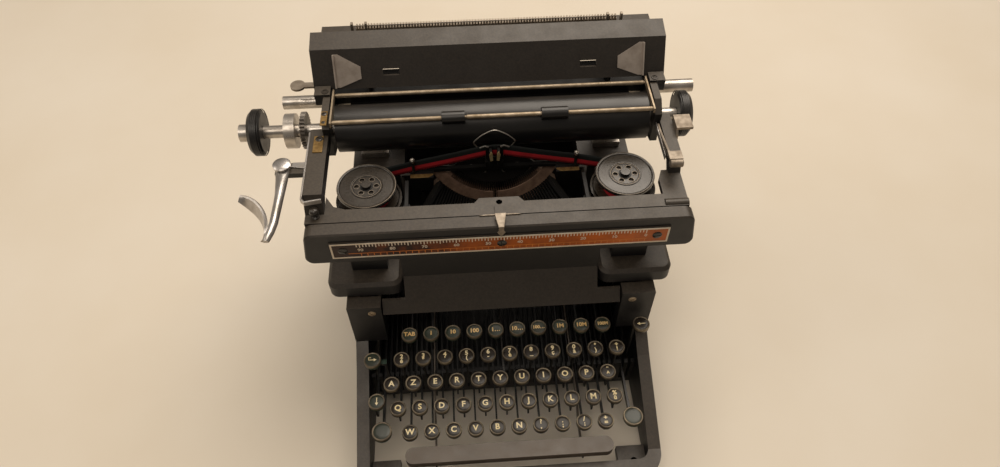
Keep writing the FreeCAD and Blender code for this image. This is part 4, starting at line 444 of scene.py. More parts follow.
def piece(name, shape, finish, body="machine_frame", rounding=0.0):
    """Makes a shape in millimetres into a smooth piece that rides on a body."""
    bmesh.ops.recalc_face_normals(shape, faces=shape.faces)
    bmesh.ops.scale(shape, vec=(mm, mm, mm), verts=shape.verts)
    mesh = bpy.data.meshes.new(name)
    shape.to_mesh(mesh)
    shape.free()
    mesh.shade_smooth()
    mesh.set_sharp_from_angle(angle=soft_angle)
    item = bpy.data.objects.new(name, mesh)
    if rounding:
        edges = item.modifiers.new("rounding", "BEVEL")
        edges.width = rounding * mm
        edges.segments = 2
        edges.limit_method = "ANGLE"
        edges.angle_limit = soft_angle
    return mount(item, finish, body)


# %% [markdown]
# ## Turned forms
# Keys, spools, screws and knobs are round. A turned form is a skin over a row of circles, so a
# general skin comes first. A modifier could spin a curve, but then each form would be an object
# of its own, and here many share one mesh.

# %% Skins and turned forms
def loft(shape, rings, closed=False):
    """Lays a skin over rings of points, closed on itself or with flat ends."""
    circles = [[shape.verts.new(point) for point in ring] for ring in rings]
    pairs = list(zip(circles, circles[1:]))
    if closed:
        pairs.append((circles[-1], circles[0]))
    else:
        shape.faces.new(circles[0])
        shape.faces.new(circles[-1])
    for low, high in pairs:
        for step in range(len(low)):
            after = (step + 1) % len(low)
            shape.faces.new((low[step], low[after], high[after], high[step]))
    return shape


def lathe(shape, profile, where, steps=32, ring=False):
    """Turns (radius, height) points about an axis. A ring's profile closes on itself."""
    turns = [math.tau * step / steps for step in range(steps)]
    return loft(shape, [[where @ Vector((radius * math.cos(a), radius * math.sin(a), height))
                         for a in turns] for radius, height in profile], ring)


stray = 100 * (1 - math.cos(math.pi / 32))
print("a circle of 32 steps strays", round(stray, 2), "percent from round")

# %% [markdown]
# ## Keys
# A typewriter key of this age is a paper legend under a thin gloss disc, held by a crimped metal
# ring on a stem. The solids give stems and discs. Here each disc gets its ring, turned from a
# small profile, and a slightly domed top, because the dome is what catches the light.

# %% Rings and domed tops
key_pitch = 19.05
key_radius = 6.9
ring_profile = [(5.8, 0.0), (5.8, 0.55), (6.2, 0.8), (6.75, 0.75), (7.05, 0.35), (7.05, -2.2)]
dome_profile = [(5.8, 0.2), (5.3, 0.38), (3.8, 0.46), (1.6, 0.5)]
ROWS = [("key_tops_lower", "lower_row", 10), ("key_tops_home", "home_row", 11),
        ("key_tops_upper", "upper_row", 11), ("key_tops_number", "number_row", 11),
        ("key_tops_tab", "tab_row", 10)]


def row_places(node, count):
    """Top centres of one row of keys, from its box and the pitch."""
    low, high = corners(node)
    y = (low.y + high.y) / 2
    return [(low.x + key_radius + key_pitch * key, y, high.z) for key in range(count)]


def cap_keys(name, places, body, scale, gloss):
    """One mesh of rings and one of domes for all the keys of a body."""
    for part, profile, finish in (("_rings", ring_profile, rim_nickel),
                                  ("_domes", dome_profile, gloss)):
        shape = bmesh.new()
        for place in places:
            lathe(shape, [(radius * scale, height) for radius, height in profile],
                  at(*place), 28, ring=part == "_rings")
        piece(name + part, shape, finish, body)


places_of = {node: row_places(node, count) for node, body, count in ROWS}
middle = places_of["key_tops_home"][5]
for node, body, count in ROWS:
    gloss = key_green if body == "tab_row" else key_black
    cap_keys(body, [p for p in places_of[node] if p != middle], body, 1.0, gloss)
cap_keys("middle_key", [middle], "middle_key", 1.0, key_black)

SIDE_KEYS = {"shift": ("shift_keys", (-110, 110), 8.6, key_green),
             "shift_lock": ("shift_lock_key", (-114,), 7.3, key_green),
             "margin_release": ("margin_release_key", (-116,), 7.3, key_green),
             "backspace": ("backspace_key", (122.5,), 7.3, key_black)}
side_place = {}
for name, (node, xs, radius, gloss) in SIDE_KEYS.items():
    low, high = corners(node)
    places = [(x, low.y + radius, high.z) for x in xs]
    cap_keys(name, places, name + "_body", radius / key_radius, gloss)
    side_place[name] = places[0]

# %% [markdown]
# ## Legends
# Each row's legends are set in type and joined in one thin mesh just above the domes. Keys with
# two signs carry them one above the other. The shift keys are plain, and three side keys carry
# arrows. Type is the one thing that a font draws better than points listed one by one.

# %% Letters in a shape
raised = 0.04


def letters(shape, text, size, where, bold=0.2):
    """Adds raised letters, centred at a place."""
    words = bpy.data.curves.new("letters", "FONT")
    words.body = text
    words.size = size
    words.offset = bold
    words.extrude = raised
    words.space_line = 0.78
    words.align_x = "CENTER"
    words.align_y = "CENTER"
    words.resolution_u = 3
    holder = bpy.data.objects.new("letters", words)
    outline = bpy.data.meshes.new_from_object(holder)
    outline.transform(where)
    shape.from_mesh(outline)
    bpy.data.objects.remove(holder)
    bpy.data.meshes.remove(outline)


print("letters are", 2 * raised, "mm thick")

# %% Letters on the keys
LEGENDS = {
    "key_tops_lower": "W X C V B N ?\n, .\n; /\n: +\n=".split(" "),
    "key_tops_home": "Q S D F G H J K L M %\nù".split(" "),
    "key_tops_upper": "A Z E R T Y U I O P ¨\n^".split(" "),
    "key_tops_number": "2\né 3\n\" 4\n' 5\n( 6\n- 7\nè 8\n_ 9\nç 0\nà °\n) +\n!".split(" "),
    "key_tops_tab": "TAB 1 10 100 1… 10… 100… 1M 10M 100M".split(" "),
}
legend_lift = 0.56
letter_size, pair_size, tab_size = 7.3, 5.6, 5.4
for node, body, count in ROWS:
    words = bmesh.new()
    for place, legend in zip(places_of[node], LEGENDS[node]):
        x, y, z = place
        size = pair_size if "\n" in legend else letter_size
        if body == "tab_row":
            size = tab_size if len(legend) < 4 else tab_size * 0.8
        shape = bmesh.new() if place == middle else words
        letters(shape, legend, size, at(x, y, z + legend_lift))
        if place == middle:
            piece("middle_key_legend", shape, legend_paint, "middle_key")
    piece(body + "_legends", words, legend_amber if body == "tab_row" else legend_paint, body)
print("legends on", sum(len(texts) for texts in LEGENDS.values()), "keys")

# %% [markdown]
# ## Raised outlines
# Punched sheet, painted signs and small blocks are a flat outline with some thickness: the same
# skin over only two outlines. The first ones are the arrows of three side keys. One arrow
# outline serves all three, turned to point its own way, and the release key adds a hook.

# %% Raised outlines
def prism(shape, outline, low, high, where):
    """Raises a flat outline from low to high."""
    return loft(shape, [[where @ Vector((x, y, level)) for x, y in outline]
                        for level in (low, high)])


def both_sides(shape, outline, low, high, where):
    """Raises a flat outline and its mirror image on the other side."""
    for side in (-1, 1):
        prism(shape, [(side * x, y) for x, y in outline], low, high, where)
    return shape


def rectangle(left, right, low, high):
    """The outline of a rectangle."""
    return [(left, low), (right, low), (right, high), (left, high)]


print("a rectangle has", len(rectangle(0, 1, 0, 1)), "corners")

# %% Arrows on the side keys
sign_thick = 0.08
arrow = [(-3.6, -0.35), (1.2, -0.35), (1.2, -1.5), (3.8, 0), (1.2, 1.5), (1.2, 0.35), (-3.6, 0.35)]
hook = [(-3.6, -0.35), (-3.0, -0.35), (-3.0, 1.9), (-1.2, 1.9), (-1.2, 2.5), (-3.6, 2.5)]
ARROWS = {"shift_lock": ([arrow], -90), "margin_release": ([arrow, hook], 0),
          "backspace": ([arrow], 180)}
for name, (outlines, turn) in ARROWS.items():
    x, y, z = side_place[name]
    turned = Matrix.Rotation(math.radians(turn), 4, "Z")
    sign = bmesh.new()
    for outline in outlines:
        prism(sign, outline, 0, sign_thick, at(x, y, z + legend_lift, turned))
    piece(name + "_arrow", sign, legend_paint, name + "_body")

# %% [markdown]
# ## The front scale
# The scale is a strip of varnished brass behind a cream edge. Its long marks stand one letter
# apart, 2.54 mm, and its numbers ten letters apart, so it measures the sheet in letters. It is a
# ruler, so its marks are placed by arithmetic from the last number, 0.

# %% Scale strip and edge
plate_low, plate_high = corners("scale_plate")
face = plate_low.y
on_plate = at(0, face, 0, FRONT)
strip_low, strip_high = plate_low.z + 1.9, plate_high.z - 1.8
strip_half, strip_thick = plate_high.x - 2.0, 0.25
strip = prism(bmesh.new(), rectangle(-strip_half, strip_half, strip_low, strip_high), 0,
              strip_thick, on_plate)
piece("scale_strip", strip, scale_amber)

edge = bmesh.new()
half, low, high = plate_high.x - 0.6, plate_low.z + 0.6, plate_high.z - 0.6
for bar in (rectangle(-half, half, low, strip_low), rectangle(-half, half, strip_high, high),
            rectangle(-half, -strip_half, strip_low, strip_high),
            rectangle(strip_half, half, strip_low, strip_high)):
    prism(edge, bar, 0, 0.5, on_plate)
piece("scale_edge", edge, cream_paint)
print("strip", round(strip_high - strip_low, 1), "mm high")

# %% Marks and numbers
letter_space = 2.54
zero_x = 116.6
pointer_gap = 7
mark_half, tooth_half = 0.42, 0.35
mark_top, comb_face = strip_thick + 0.1, strip_thick + 0.07
marks = bmesh.new()
for count in range(92):
    x = zero_x - count * letter_space
    length = 3.1 if count % 5 else 4.1
    prism(marks, rectangle(x - mark_half, x + mark_half, strip_high - length,
                           strip_high - 0.2), strip_thick, mark_top, on_plate)
for tens in range(10):
    x = zero_x - tens * 10 * letter_space
    if abs(x) > pointer_gap:
        letters(marks, str(tens * 10), 4.6, at(x, face - 0.3, strip_high - 7.1, FRONT), 0.08)
piece("scale_marks", marks, cream_paint)

comb = bmesh.new()
comb_foot, comb_top = strip_low + 3.7, strip_low + 4.4
prism(comb, rectangle(12 - strip_half, strip_half - 16, comb_foot, comb_top), strip_thick,
      comb_face, on_plate)
for count in range(46):
    x = zero_x - count * 2 * letter_space
    prism(comb, rectangle(x - tooth_half, x + tooth_half, strip_low + 0.5, comb_foot),
          strip_thick, comb_face, on_plate)
piece("scale_comb", comb, orange_paint)
print("marks from", round(zero_x - 91 * letter_space, 1), "to", zero_x, "mm")

# %% [markdown]
# ## Screws
# A raised screw head is a shallow dome with a slot. The turned dome is cut along both sides of
# the slot, and the points between the cuts are pushed down, as a saw would leave them.

# %% Screw heads
def screw(shape, where, radius, turn=25, height=0.28):
    """Adds a domed screw head, its slot turned by some degrees."""
    head = bmesh.new()
    dome = [(1.0, -0.1), (1.0, 0.25 * height), (0.86, 0.62 * height), (0.6, 0.88 * height),
            (0.3, 0.97 * height), (0.08, height)]
    lathe(head, [(radius * r, radius * h) for r, h in dome], UP, 28)
    slot = 0.13 * radius
    for cut in (-slot, -0.8 * slot, slot, 0.8 * slot):
        bmesh.ops.bisect_plane(head, geom=head.verts[:] + head.edges[:] + head.faces[:],
                               plane_co=(cut, 0, 0), plane_no=(1, 0, 0))
    for point in head.verts:
        if abs(point.co.x) < 0.9 * slot and point.co.z > 0:
            point.co.z = max(0.02 * radius, point.co.z - 0.3 * radius)
    cut_head = bpy.data.meshes.new("head")
    bmesh.ops.recalc_face_normals(head, faces=head.faces)
    head.to_mesh(cut_head)
    head.free()
    cut_head.transform(where @ Matrix.Rotation(math.radians(turn), 4, "Z"))
    shape.from_mesh(cut_head)
    bpy.data.meshes.remove(cut_head)


scale_screws = bmesh.new()
for x, z, turn in ((-126, 196.5, 70), (0.5, 196, 12), (126, 196, 100)):
    screw(scale_screws, at(x, face - 0.2, z, FRONT), 3.9, turn)
piece("scale_screws", scale_screws, pressed_enamel)

column_screws = bmesh.new()
column_front = -45
for x, turn in ((-112.4, 40), (113.5, 130)):
    screw(column_screws, at(x, column_front, 124, FRONT), 3.4, turn)
piece("column_screws", column_screws, dull_nickel)

# %% [markdown]
# ## Pointer
# An arrow is clamped over the middle of the carriage's front bar and hangs over the scale, where
# it reads the carriage's place. It is punched from nickelled sheet: a head with a waist and a
# point, and a strap that widens towards the clamp behind it.

# %% Pointer and its clamp
nose_front = corners("carriage_front_bar")[0].y
waist, strap_back = 2.2, -18.5
head_outline = [(-waist, 218.4), (waist, 218.4), (2.0, 213.6), (3.3, 211.6), (0, 206.4),
                (-3.3, 211.6), (-2.0, 213.6)]
strap_outline = [(-waist, nose_front - 0.7), (waist, nose_front - 0.7), (4.6, strap_back),
                 (-4.6, strap_back)]
pointer = prism(bmesh.new(), head_outline, 0.05, 0.7, at(0, nose_front, 0, FRONT))
prism(pointer, strap_outline, 217.9, 218.5, UP)
piece("pointer_head", pointer, plate_nickel, "carriage", 0.2)
clamp_outline = [(-17.0, -17.9), (17.0, -17.9), (13.0, -17.0), (-13.0, -17.0)]
piece("pointer_clamp", prism(bmesh.new(), clamp_outline, 214.6, 215.6, UP), plate_nickel,
      "carriage", 0.2)
print("strap", round(strap_back - nose_front + 0.7, 1), "mm long")

# %% [markdown]
# ## Spools
# Each spool is pressed from sheet, with a rolled rim, a raised ring about its hub and six eyes
# that the drive dogs fit. The eyes are edged with bright metal where the dogs have rubbed. Thin
# nickel rings on the rolled rim and on the hub ring are painted highlights, where the enamel
# edges catch the light. The ribbon wound on the hub shows between the flanges.

# %% Spool rims, hub rings, eyes and wound ribbon
spool_x = 109
dog_ring = 8.3
for x, node, name in ((-spool_x, "spool_left", "left_spool"),
                      (spool_x, "spool_right", "right_spool")):
    low, high = corners(node)
    y = (low.y + high.y) / 2
    top = at(x, y, high.z)
    rim = bmesh.new()
    lathe(rim, [(22.3, 0), (22.6, 0.7), (23.2, 1.1), (24.2, 1.1), (24.8, 0.5), (25.0, -0.2)],
          top, 64, ring=True)
    lathe(rim, [(12.4, 0), (12.7, 0.5), (13.4, 0.55), (13.8, 0)], top, 48, ring=True)
    piece(name + "_rims", rim, pressed_enamel, name)
    # Painted highlights: the thin nickel rings on the hub ring and on the rolled rim. The centre
    # pin and the rubbed eye rims are real metal.
    bright = bmesh.new()
    lathe(bright, [(11.9, 0), (12.0, 0.28), (12.3, 0.28), (12.4, 0)], top, 48, ring=True)
    lathe(bright, [(24.2, 1.05), (24.35, 1.2), (24.6, 1.1), (24.7, 0.7)], top, 64, ring=True)
    lathe(bright, [(2.1, -0.2), (2.1, 0.3), (1.4, 0.6), (0.4, 0.7)], top, 20)
    for eye in range(6):
        angle = math.radians(60 * eye)
        hole = at(x + dog_ring * math.cos(angle), y + dog_ring * math.sin(angle), high.z)
        lathe(bright, [(2.15, 0), (2.2, 0.22), (2.5, 0.22), (2.6, 0)], hole, 18, ring=True)
    piece(name + "_eyes_and_rim_highlights", bright, plate_nickel, name)
    hub = bmesh.new()
    lathe(hub, [(2.3, 0), (2.3, 0.14), (5.5, 0.14), (5.5, 0)], top, 36, ring=True)
    lathe(hub, [(11.0, 0), (11.0, 0.14), (11.9, 0.14), (11.9, 0)], top, 48, ring=True)
    piece(name + "_hub", hub, oily_steel, name)
    middle_z = (low.z + high.z) / 2
    for part, finish, bottom, upper in (("lower", ribbon_red, low.z + 1.7, middle_z - 0.02),
                                        ("upper", ribbon_black, middle_z, high.z - 1.7)):
        wound = bmesh.new()
        lathe(wound, [(17.05, bottom), (17.5, bottom + 0.1), (17.6, upper - 0.1),
                      (17.05, upper)], at(x, y, 0), 48, ring=True)
        piece(name + "_wound_" + part, wound, finish, name)
print("spool tops at z", high.z, "mm")

# %% [markdown]
# ## Ribbon
# The ribbon is one cotton tape, half an inch wide and about 230 mm of it in the open. It leaves
# each spool, turns round a post and climbs to the type guide, with a little sag on the way. Its
# two colours are rows of faces of one mesh, so the line between them follows the tape.

# %% Ribbon
ribbon_half, ribbon_thick, ribbon_sag, ripple, steps = 6.4, 0.22, 0.5, 0.12, 12
right_run = [(113.6, 45.6, 196.7), (71.0, 57.8, 196.7), (7.0, 60.4, 209.3)]
run = [Vector((-x, y, z)) for x, y, z in right_run]
run += [Vector(point) for point in right_run[::-1]]
path = []
for start, end in zip(run, run[1:]):
    for step in range(steps):
        share = step / steps
        point = start.lerp(end, share)
        if abs(start.z - end.z) > 1:
            point.z -= ribbon_sag * 4 * share * (1 - share)
        path.append(point)
path.append(run[-1])

tape = bmesh.new()
levels = (-1.0, -0.5, 0.0, 0.5, 1.0)
columns = []
for point in path:
    sway = ripple * math.sin(0.4 * point.x)
    columns.append([tape.verts.new(point + Vector((0, sway * level, ribbon_half * level)))
                    for level in levels])
for before, after in zip(columns, columns[1:]):
    for row in range(len(levels) - 1):
        cloth = tape.faces.new((before[row], after[row], after[row + 1], before[row + 1]))
        cloth.material_index = 0 if row < 2 else 1
ribbon = piece("inked_ribbon", tape, ribbon_red)
ribbon.data.materials.append(ribbon_black)
body_of_tape = ribbon.modifiers.new("thickness", "SOLIDIFY")
body_of_tape.thickness = ribbon_thick * mm
body_of_tape.offset = 0
length = sum((b - a).length for a, b in zip(path, path[1:]))
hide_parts("ribbon")
print("ribbon in the open:", round(length), "mm")

# %% [markdown]
# ## Type guide and card holder
# The guide in the middle steers each type bar for its last millimetres between two brass
# cheeks. A bent wire above it holds a card against the platen, and small nickel caps finish the
# ribbon posts. Worn brass shows on the two wings of the bridge.

# %% Cheeks, block and crosspiece of the guide
prong_front, guide_front, guide_depth = 53.5, 59.6, 6.1
on_guide = at(0, guide_front, 0, FRONT)
cheek = [(1.5, 204.0), (3.9, 203.2), (4.9, 210.5), (3.4, 214.6), (2.0, 212.5)]
cheeks = both_sides(bmesh.new(), cheek, 0.0, 1.0, at(0, prong_front, 0, FRONT))
piece("guide_cheeks", cheeks, pale_brass, rounding=0.3)
block_outline = [(-7.6, 214), (-7.6, 201), (-5, 196.6), (5, 196.6), (7.6, 201), (7.6, 214),
                 (5.2, 216), (2.0, 216), (2.0, 203), (-2.0, 203), (-2.0, 216), (-5.2, 216)]
block = prism(bmesh.new(), block_outline, 0.0, 1.1, on_guide)
both_sides(block, rectangle(2.4, 4.6, 200, 214), 1.1, guide_depth, on_guide)
piece("guide_block", block, oily_steel, rounding=0.3)
half_bow = [(4.8, 216.0), (8.0, 217.6), (13.0, 215.2), (12.6, 214.2), (8.0, 216.2), (5.4, 214.6)]
crosspiece = both_sides(bmesh.new(), half_bow, 1.2, 2.2, on_guide)
piece("guide_crosspiece", crosspiece, nickel, rounding=0.15)
print("guide from", prong_front, "to", guide_front, "mm behind the middle")

# %% Card wire
right_bend = [(4.5, 59.8, 231.6), (16.2, 59.8, 222.2), (17.6, 60.0, 219.5),
              (16.6, 61.2, 215.5), (10, 62.2, 206), (6.5, 62.3, 197)]
bend = [(-x, y, z) for x, y, z in right_bend[::-1]] + [(0, 59.8, 233.0)] + right_bend
card_wire = bpy.data.curves.new("card_wire", "CURVE")
card_wire.dimensions = "3D"
card_wire.bevel_depth = 0.5 * mm
card_wire.bevel_resolution = 3
card_wire.resolution_u = 6
card_wire.use_fill_caps = True
spline = card_wire.splines.new("BEZIER")
spline.bezier_points.add(len(bend) - 1)
for knot, point in zip(spline.bezier_points, bend):
    knot.co = Vector(point) * mm
    knot.handle_left_type = "AUTO"
    knot.handle_right_type = "AUTO"
mount(bpy.data.objects.new("card_wire", card_wire), nickel, "machine_frame")
print("card wire with", len(bend), "knots")

# %% Post caps and bridge wings
post_x, post_y = 71, 56
leaning = Matrix.Rotation(math.radians(70), 4, "X")
caps = bmesh.new()
for side in (-1, 1):
    lathe(caps, [(1.35, 203.5), (1.8, 204.2), (1.9, 206.6), (1.3, 207.6), (0.5, 208.0)],
          at(side * post_x, post_y, 0), 20)
    lathe(caps, [(0.9, 0), (1.1, 0.6), (0.9, 3.0), (0.4, 3.4)],
          at(side * post_x, post_y, 206, leaning), 14)
piece("post_caps", caps, nickel)
wing = [(54.2, 53.0), (58.0, 50.2), (74.3, 50.2), (74.3, 54.4), (54.2, 54.4)]
wings = both_sides(bmesh.new(), wing, 189.5, 189.9, UP)
piece("bridge_wings", wings, brass, rounding=0.15)
print("ribbon posts", 2 * post_x, "mm apart")

# %% [markdown]
# ## Segment face and painted shade sheet
# A worn steel plate lies on the segment just inside the ring of type bars. It has a slit for the
# middle bar, which really swings. Under the key levers a thin black sheet closes the back half
# of the casting. It is painted shade: it stands in for the shadow inside the works, so that they
# look black from above.

# %% Segment face and painted shade sheet
in_basket = at(*(Vector(basket_centre) / mm), Matrix.Rotation(basket_tilt, 4, "X"))
face_inner, face_outer, face_low, face_high = 53.5, 63.5, 4.6, 5.8
slit_half, arc_half, steps = 2, 60, 24
turns = [math.radians(slit_half + (arc_half - slit_half) * step / steps)
         for step in range(steps + 1)]
arc_outline = [(face_inner * math.sin(a), -face_inner * math.cos(a)) for a in turns]
arc_outline += [(face_outer * math.sin(a), -face_outer * math.cos(a)) for a in turns[::-1]]
arc_face = both_sides(bmesh.new(), arc_outline, face_low, face_high, in_basket)
piece("segment_face", arc_face, worn_segment, "type_basket", 0.2)

# The black sheet is painted shade for the dark space under the works.
sheet_low, sheet_top = 24.0, 24.8
dust_sheet = prism(bmesh.new(), [(-117, -66), (117, -66), (120, -63), (120, 108), (-120, 108),
                                 (-120, -63)], sheet_low, sheet_top, UP)
for rib in (-60, 0, 60):
    prism(dust_sheet, rectangle(rib - 2, rib + 2, -62, 104), sheet_top, sheet_top + 1.0, UP)
piece("dust_sheet", dust_sheet, oily_steel, rounding=0.2)
print("segment face", face_outer - face_inner, "mm wide")

# %% [markdown]
# ## Bright parts at the carriage's left end
# Dark castings are joined by bright work: brass keeper plates with their screws, a nickel spring
# strip along the arm that ends in a hook, and a dark ball stud. These small bright lines make
# the end of a carriage look like a mechanism.

# %% Keepers and their screws
arm_top, keeper_top, bracket_keeper_top = 230.0, 230.8, 246.3
keepers = prism(bmesh.new(), rectangle(-150.5, -142.5, 46, 65), arm_top, keeper_top, UP)
prism(keepers, rectangle(-142.8, -137.4, 61, 78), 245.5, bracket_keeper_top, UP)
piece("left_keepers", keepers, brass, "carriage", 0.2)
left_screws = bmesh.new()
for x, y, z, radius, turn in ((-146, 61.5, keeper_top, 3.2, 60),
                              (-140.2, 74.5, bracket_keeper_top, 2.3, 110),
                              (-140.2, 64.5, bracket_keeper_top, 1.6, 40)):
    screw(left_screws, at(x, y, z), radius, turn)
piece("left_screws", left_screws, pressed_enamel, "carriage")
print("keepers", round(keeper_top - arm_top, 1), "mm thick")

# %% Spring strip, ball stud, pin head and strap
arm_side, spring_side = -154.0, -155.3
spring = bmesh.new()
for outline in ([(spring_side, -2), (arm_side, -2), (arm_side, 70), (spring_side, 70)],
                [(spring_side, -2), (spring_side, -5), (-152, -8.4), (-139, -6.2),
                 (-139, -5.0), (-151.6, -7.0), (arm_side, -4.6), (arm_side, -2)]):
    prism(spring, outline, 226.5, 230.8, UP)
piece("left_spring_strip", spring, lever_nickel, "carriage", 0.15)
ball = lathe(bmesh.new(), [(3.4, 215), (3.6, 216), (2.4, 217), (2.4, 218), (3.6, 219.2),
                           (4.1, 221), (3.6, 222.8), (2.2, 224), (0.6, 224.4)],
             at(-145.5, -10, 0), 28)
piece("left_ball_stud", ball, pressed_enamel, "carriage")
lever_x, lever_y = -173.5, 33.0
pin_head = lathe(bmesh.new(), [(6.55, 229.9), (7.3, 230.3), (7.3, 231.9), (6.4, 232.6),
                               (3.6, 233.1), (1.0, 233.3)], at(lever_x, lever_y, 0), 36)
piece("lever_pin_head", pin_head, lever_nickel, "carriage")
strap = prism(bmesh.new(), [(-167, 33.5), (-154.2, 31.5), (-154.2, 38.5), (-166, 38.5)],
              226.65, 227.7, UP)
piece("lever_strap", strap, lever_nickel, "carriage", 0.2)
print("lever pin", arm_side - lever_x, "mm outside the arm")

# %% [markdown]
# ## Return lever
# The return lever is a forging: its arm is crowned on top, which draws one long highlight, and
# its finger plate leans outwards, so that it catches the light from above. A flat solid gives
# neither. Both parts are lofts, a row of outlines with a skin over them, and together they take
# the place of the plain solid.

# %% Return lever
arm_floor, arm_edge = 226.6, 227.5
# Each station: y, left and right side from the pin, height of the crown.
stations = [(37.5, -3.5, 3.5, 229.5), (33, -5.5, 5.5, 229.5), (26, -5.0, 5.5, 229.5),
            (19, -4.2, 5.5, 230.7), (2, -2.7, 4.6, 231.1), (-12, -2.9, 3.9, 231.1),
            (-25, -3.2, 3.2, 230.9), (-34, -4.7, 1.6, 230.5), (-41.3, -6.0, -0.7, 230.0),
            (-43.0, -5.2, -1.6, 229.2)]
rings_of_arm = []
for y, left, right, crown in stations:
    middle, half = lever_x + (left + right) / 2, (right - left) / 2
    ring = [Vector((middle - half, y, arm_floor))]
    for step in range(9):
        turn = math.pi * step / 8
        ring.append(Vector((middle - half * math.cos(turn), y,
                            arm_edge + (crown - arm_edge) * math.sin(turn))))
    rings_of_arm.append(ring + [Vector((middle + half, y, arm_floor))])
lever = loft(bmesh.new(), rings_of_arm)
paddle_middle = Vector((lever_x - 48.5, lever_y - 66.5, 0))
paddle_radius, lean, paddle_low, paddle_high = 45.0, 2.8, 215.7, 229.6
paddle_start, paddle_sweep, steps = 66.0, 73.5, 24
rings_of_paddle = []
for step in range(steps + 1):
    turn = math.radians(paddle_start - paddle_sweep * step / steps)
    near_end = min(1.0, step / 9, (steps - step) / 4)
    shorter = 6.5 * (1 - near_end) ** 2
    low, high = paddle_low + shorter, paddle_high - 0.5 * shorter
    outline = [(0.2, high - 0.9), (-0.9, high), (-2.3, high - 0.6),
               (-3.0 - 0.35 * lean, (low + high) / 2), (-2.7 - lean, low + 0.8),
               (-1.3 - lean, low), (-0.1 - lean, low + 0.8),
               (-0.3 - 0.35 * lean, (low + high) / 2)]
    rings_of_paddle.append([paddle_middle + Vector(((paddle_radius + out) * math.cos(turn),
                                                    (paddle_radius + out) * math.sin(turn), z))
                            for out, z in outline])
loft(lever, rings_of_paddle)
lever_skin = piece("lever_skin", lever, lever_nickel, "return_lever_body")
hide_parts("return_lever")
print("lever from y", stations[-1][0], "to", stations[0][0], "mm")

# %% [markdown]
# ## Bail sleeves
# Thin drawn tubes on the bail's two rods make them as thick as they look and keep the rollers in
# their places.

# %% Bail sleeves
sleeves = bmesh.new()
tube, bore, rod_end = 1.85, 1.5, 133.6
front_rod, back_rod = (66.8, 243.0), (104.0, 240.0)
for (y, z), runs in ((front_rod, ((-rod_end, -43.5), (-22.5, 41.5), (62.5, rod_end))),
                     (back_rod, ((-rod_end, rod_end),))):
    for start, end in runs:
        reach = end - start
        lathe(sleeves, [(bore, 0.0), (tube, 0.3), (tube, reach - 0.3), (bore, reach)],
              at(start, y, z, RIGHT), 20)
piece("bail_sleeves", sleeves, dull_nickel, "bail")
print("sleeves", 2 * tube, "mm thick")

# %% [markdown]
# ## Right end and knobs
# On the right a thin nickel link runs inside the arm to the paper release, and the end plates
# carry nuts on both sides. The knobs are turned rubber with a grip of shallow rings round them.

# %% Link, curl and nuts
link_strip = prism(bmesh.new(), [(138.8, 26), (139.5, 26), (139.5, 66), (138.8, 66)], 223, 228, UP)
piece("right_link", link_strip, lever_nickel, "carriage", 0.15)
curl = lathe(bmesh.new(), [(2.6, 0.0), (3.4, 0.5), (3.4, 10.3), (2.6, 10.8)],
             at(139.8, 14.5, 230.4, RIGHT), 28)
piece("paper_release_curl", curl, plate_nickel, "paper_release_body", 0.2)
nuts = bmesh.new()
for x in (-141.5, 141.5):
    nut = at(x, 101.0, 247.5)
    lathe(nuts, [(1.9, 0), (2.0, 0.5), (2.9, 0.5), (3.1, 0)], nut, 24, ring=True)
    lathe(nuts, [(1.9, 0), (1.9, 0.1), (0.6, 0.1)], nut, 20)
piece("nut_faces", nuts, pressed_enamel, "carriage")
print("link and nuts at the carriage's ends")

# %% Knob rings
knob_low, knob_high = corners("platen_knobs")
knob_rings = bmesh.new()
knob_radius = (knob_high.z - knob_low.z) / 2
axis_y, axis_z = (knob_low.y + knob_high.y) / 2, (knob_low.z + knob_high.z) / 2
foot, crest = knob_radius - 0.1, knob_radius + 0.18
for start, inwards in ((knob_low.x, RIGHT), (knob_high.x, LEFT)):
    for count in range(5):
        depth = 3.4 + 1.5 * count
        lathe(knob_rings, [(foot, depth), (crest, depth + 0.25), (crest, depth + 0.75),
                           (foot, depth + 1.0)], at(start, axis_y, axis_z, inwards), 64, ring=True)
piece("knob_rings", knob_rings, platen_rubber, "platen_body")
print("knob radius", round(knob_radius, 1), "mm")

# %% [markdown]
# ## Floor, light and camera
# The machine stands on a pale floor. A wide soft lamp hangs behind and to the right of it, so
# that upward faces shine, fronts stay dark and a soft shadow falls to the left. Two weaker ones
# fill from the front and the left, and the world adds an even light.

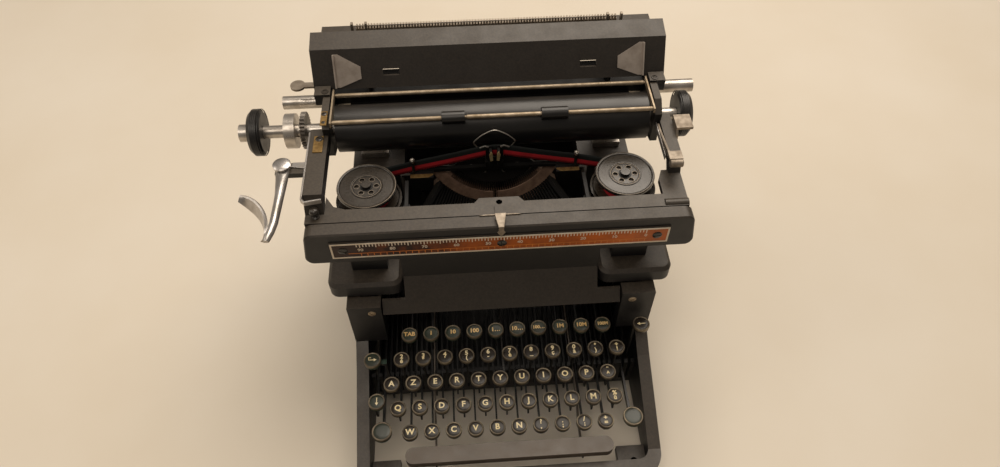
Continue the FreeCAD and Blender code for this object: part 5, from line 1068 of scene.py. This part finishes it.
# %% Floor
pale_floor = new_material("pale_floor", Roughness=0.85)
link(pale_floor, drifting(pale_floor, 250, "dbd0be", "e0d7c8"), "Base Color")
bpy.ops.mesh.primitive_plane_add(size=8.0)
floor = bpy.context.object
floor.name = "floor"
floor.data.materials.append(pale_floor)
print("floor", round(floor.dimensions.x), "m wide")

# %% Lamps and world
def lamp(name, place, aim_height, size, power):
    """A square warm area lamp that points from its place to a height over the middle."""
    light = bpy.data.lights.new(name, "AREA")
    light.size = size
    light.energy = power
    light.color = linear("fff3e4")[:3]
    lamp_object = bpy.data.objects.new(name, light)
    lamp_object.location = place
    ray = Vector((0, 0, aim_height)) - Vector(place)
    lamp_object.rotation_euler = ray.to_track_quat("-Z", "Y").to_euler()
    bpy.context.collection.objects.link(lamp_object)


lamp("overhead", (0.4, 0.8, 1.75), 0.1, 1.4, 31)
lamp("front_fill", (-0.5, -0.9, 2.3), 0.1, 1.2, 14)
lamp("left_fill", (-1.6, 0.2, 1.3), 0.15, 1.0, 7)
world = bpy.data.worlds.new("room")
bpy.context.scene.world = world
world.use_nodes = True
sky = world.node_tree.nodes["Background"]
sky.inputs["Color"].default_value = linear("f2e7da")
sky.inputs["Strength"].default_value = 0.18
print("three lamps and the world")

# %% [markdown]
# ## Camera
# The camera looks down at the machine as someone does who stands at the desk: a wide lens, close
# by, about 50 degrees above level. Two vectors give where it looks and which way is up.

# %% Camera
view_axis = Vector((0.03897, 0.62009, -0.78357)).normalized()
view_up = Vector((0.0519, 0.78185, 0.62131)).normalized()
view_right = view_axis.cross(view_up).normalized()
camera = bpy.data.objects.new("camera", bpy.data.cameras.new("camera"))
bpy.context.collection.objects.link(camera)
camera.matrix_world = Matrix.Translation((-0.0233, -0.385, 0.6555)) @ Matrix(
    (view_right, view_right.cross(view_axis), -view_axis)).transposed().to_4x4()
camera.data.lens = 26.12
camera.data.sensor_width = 36.0
camera.data.clip_start = 0.02
bpy.context.scene.camera = camera
bpy.context.scene.view_settings.view_transform = "Standard"
print("camera at", [round(c, 3) for c in camera.location])

# %% [markdown]
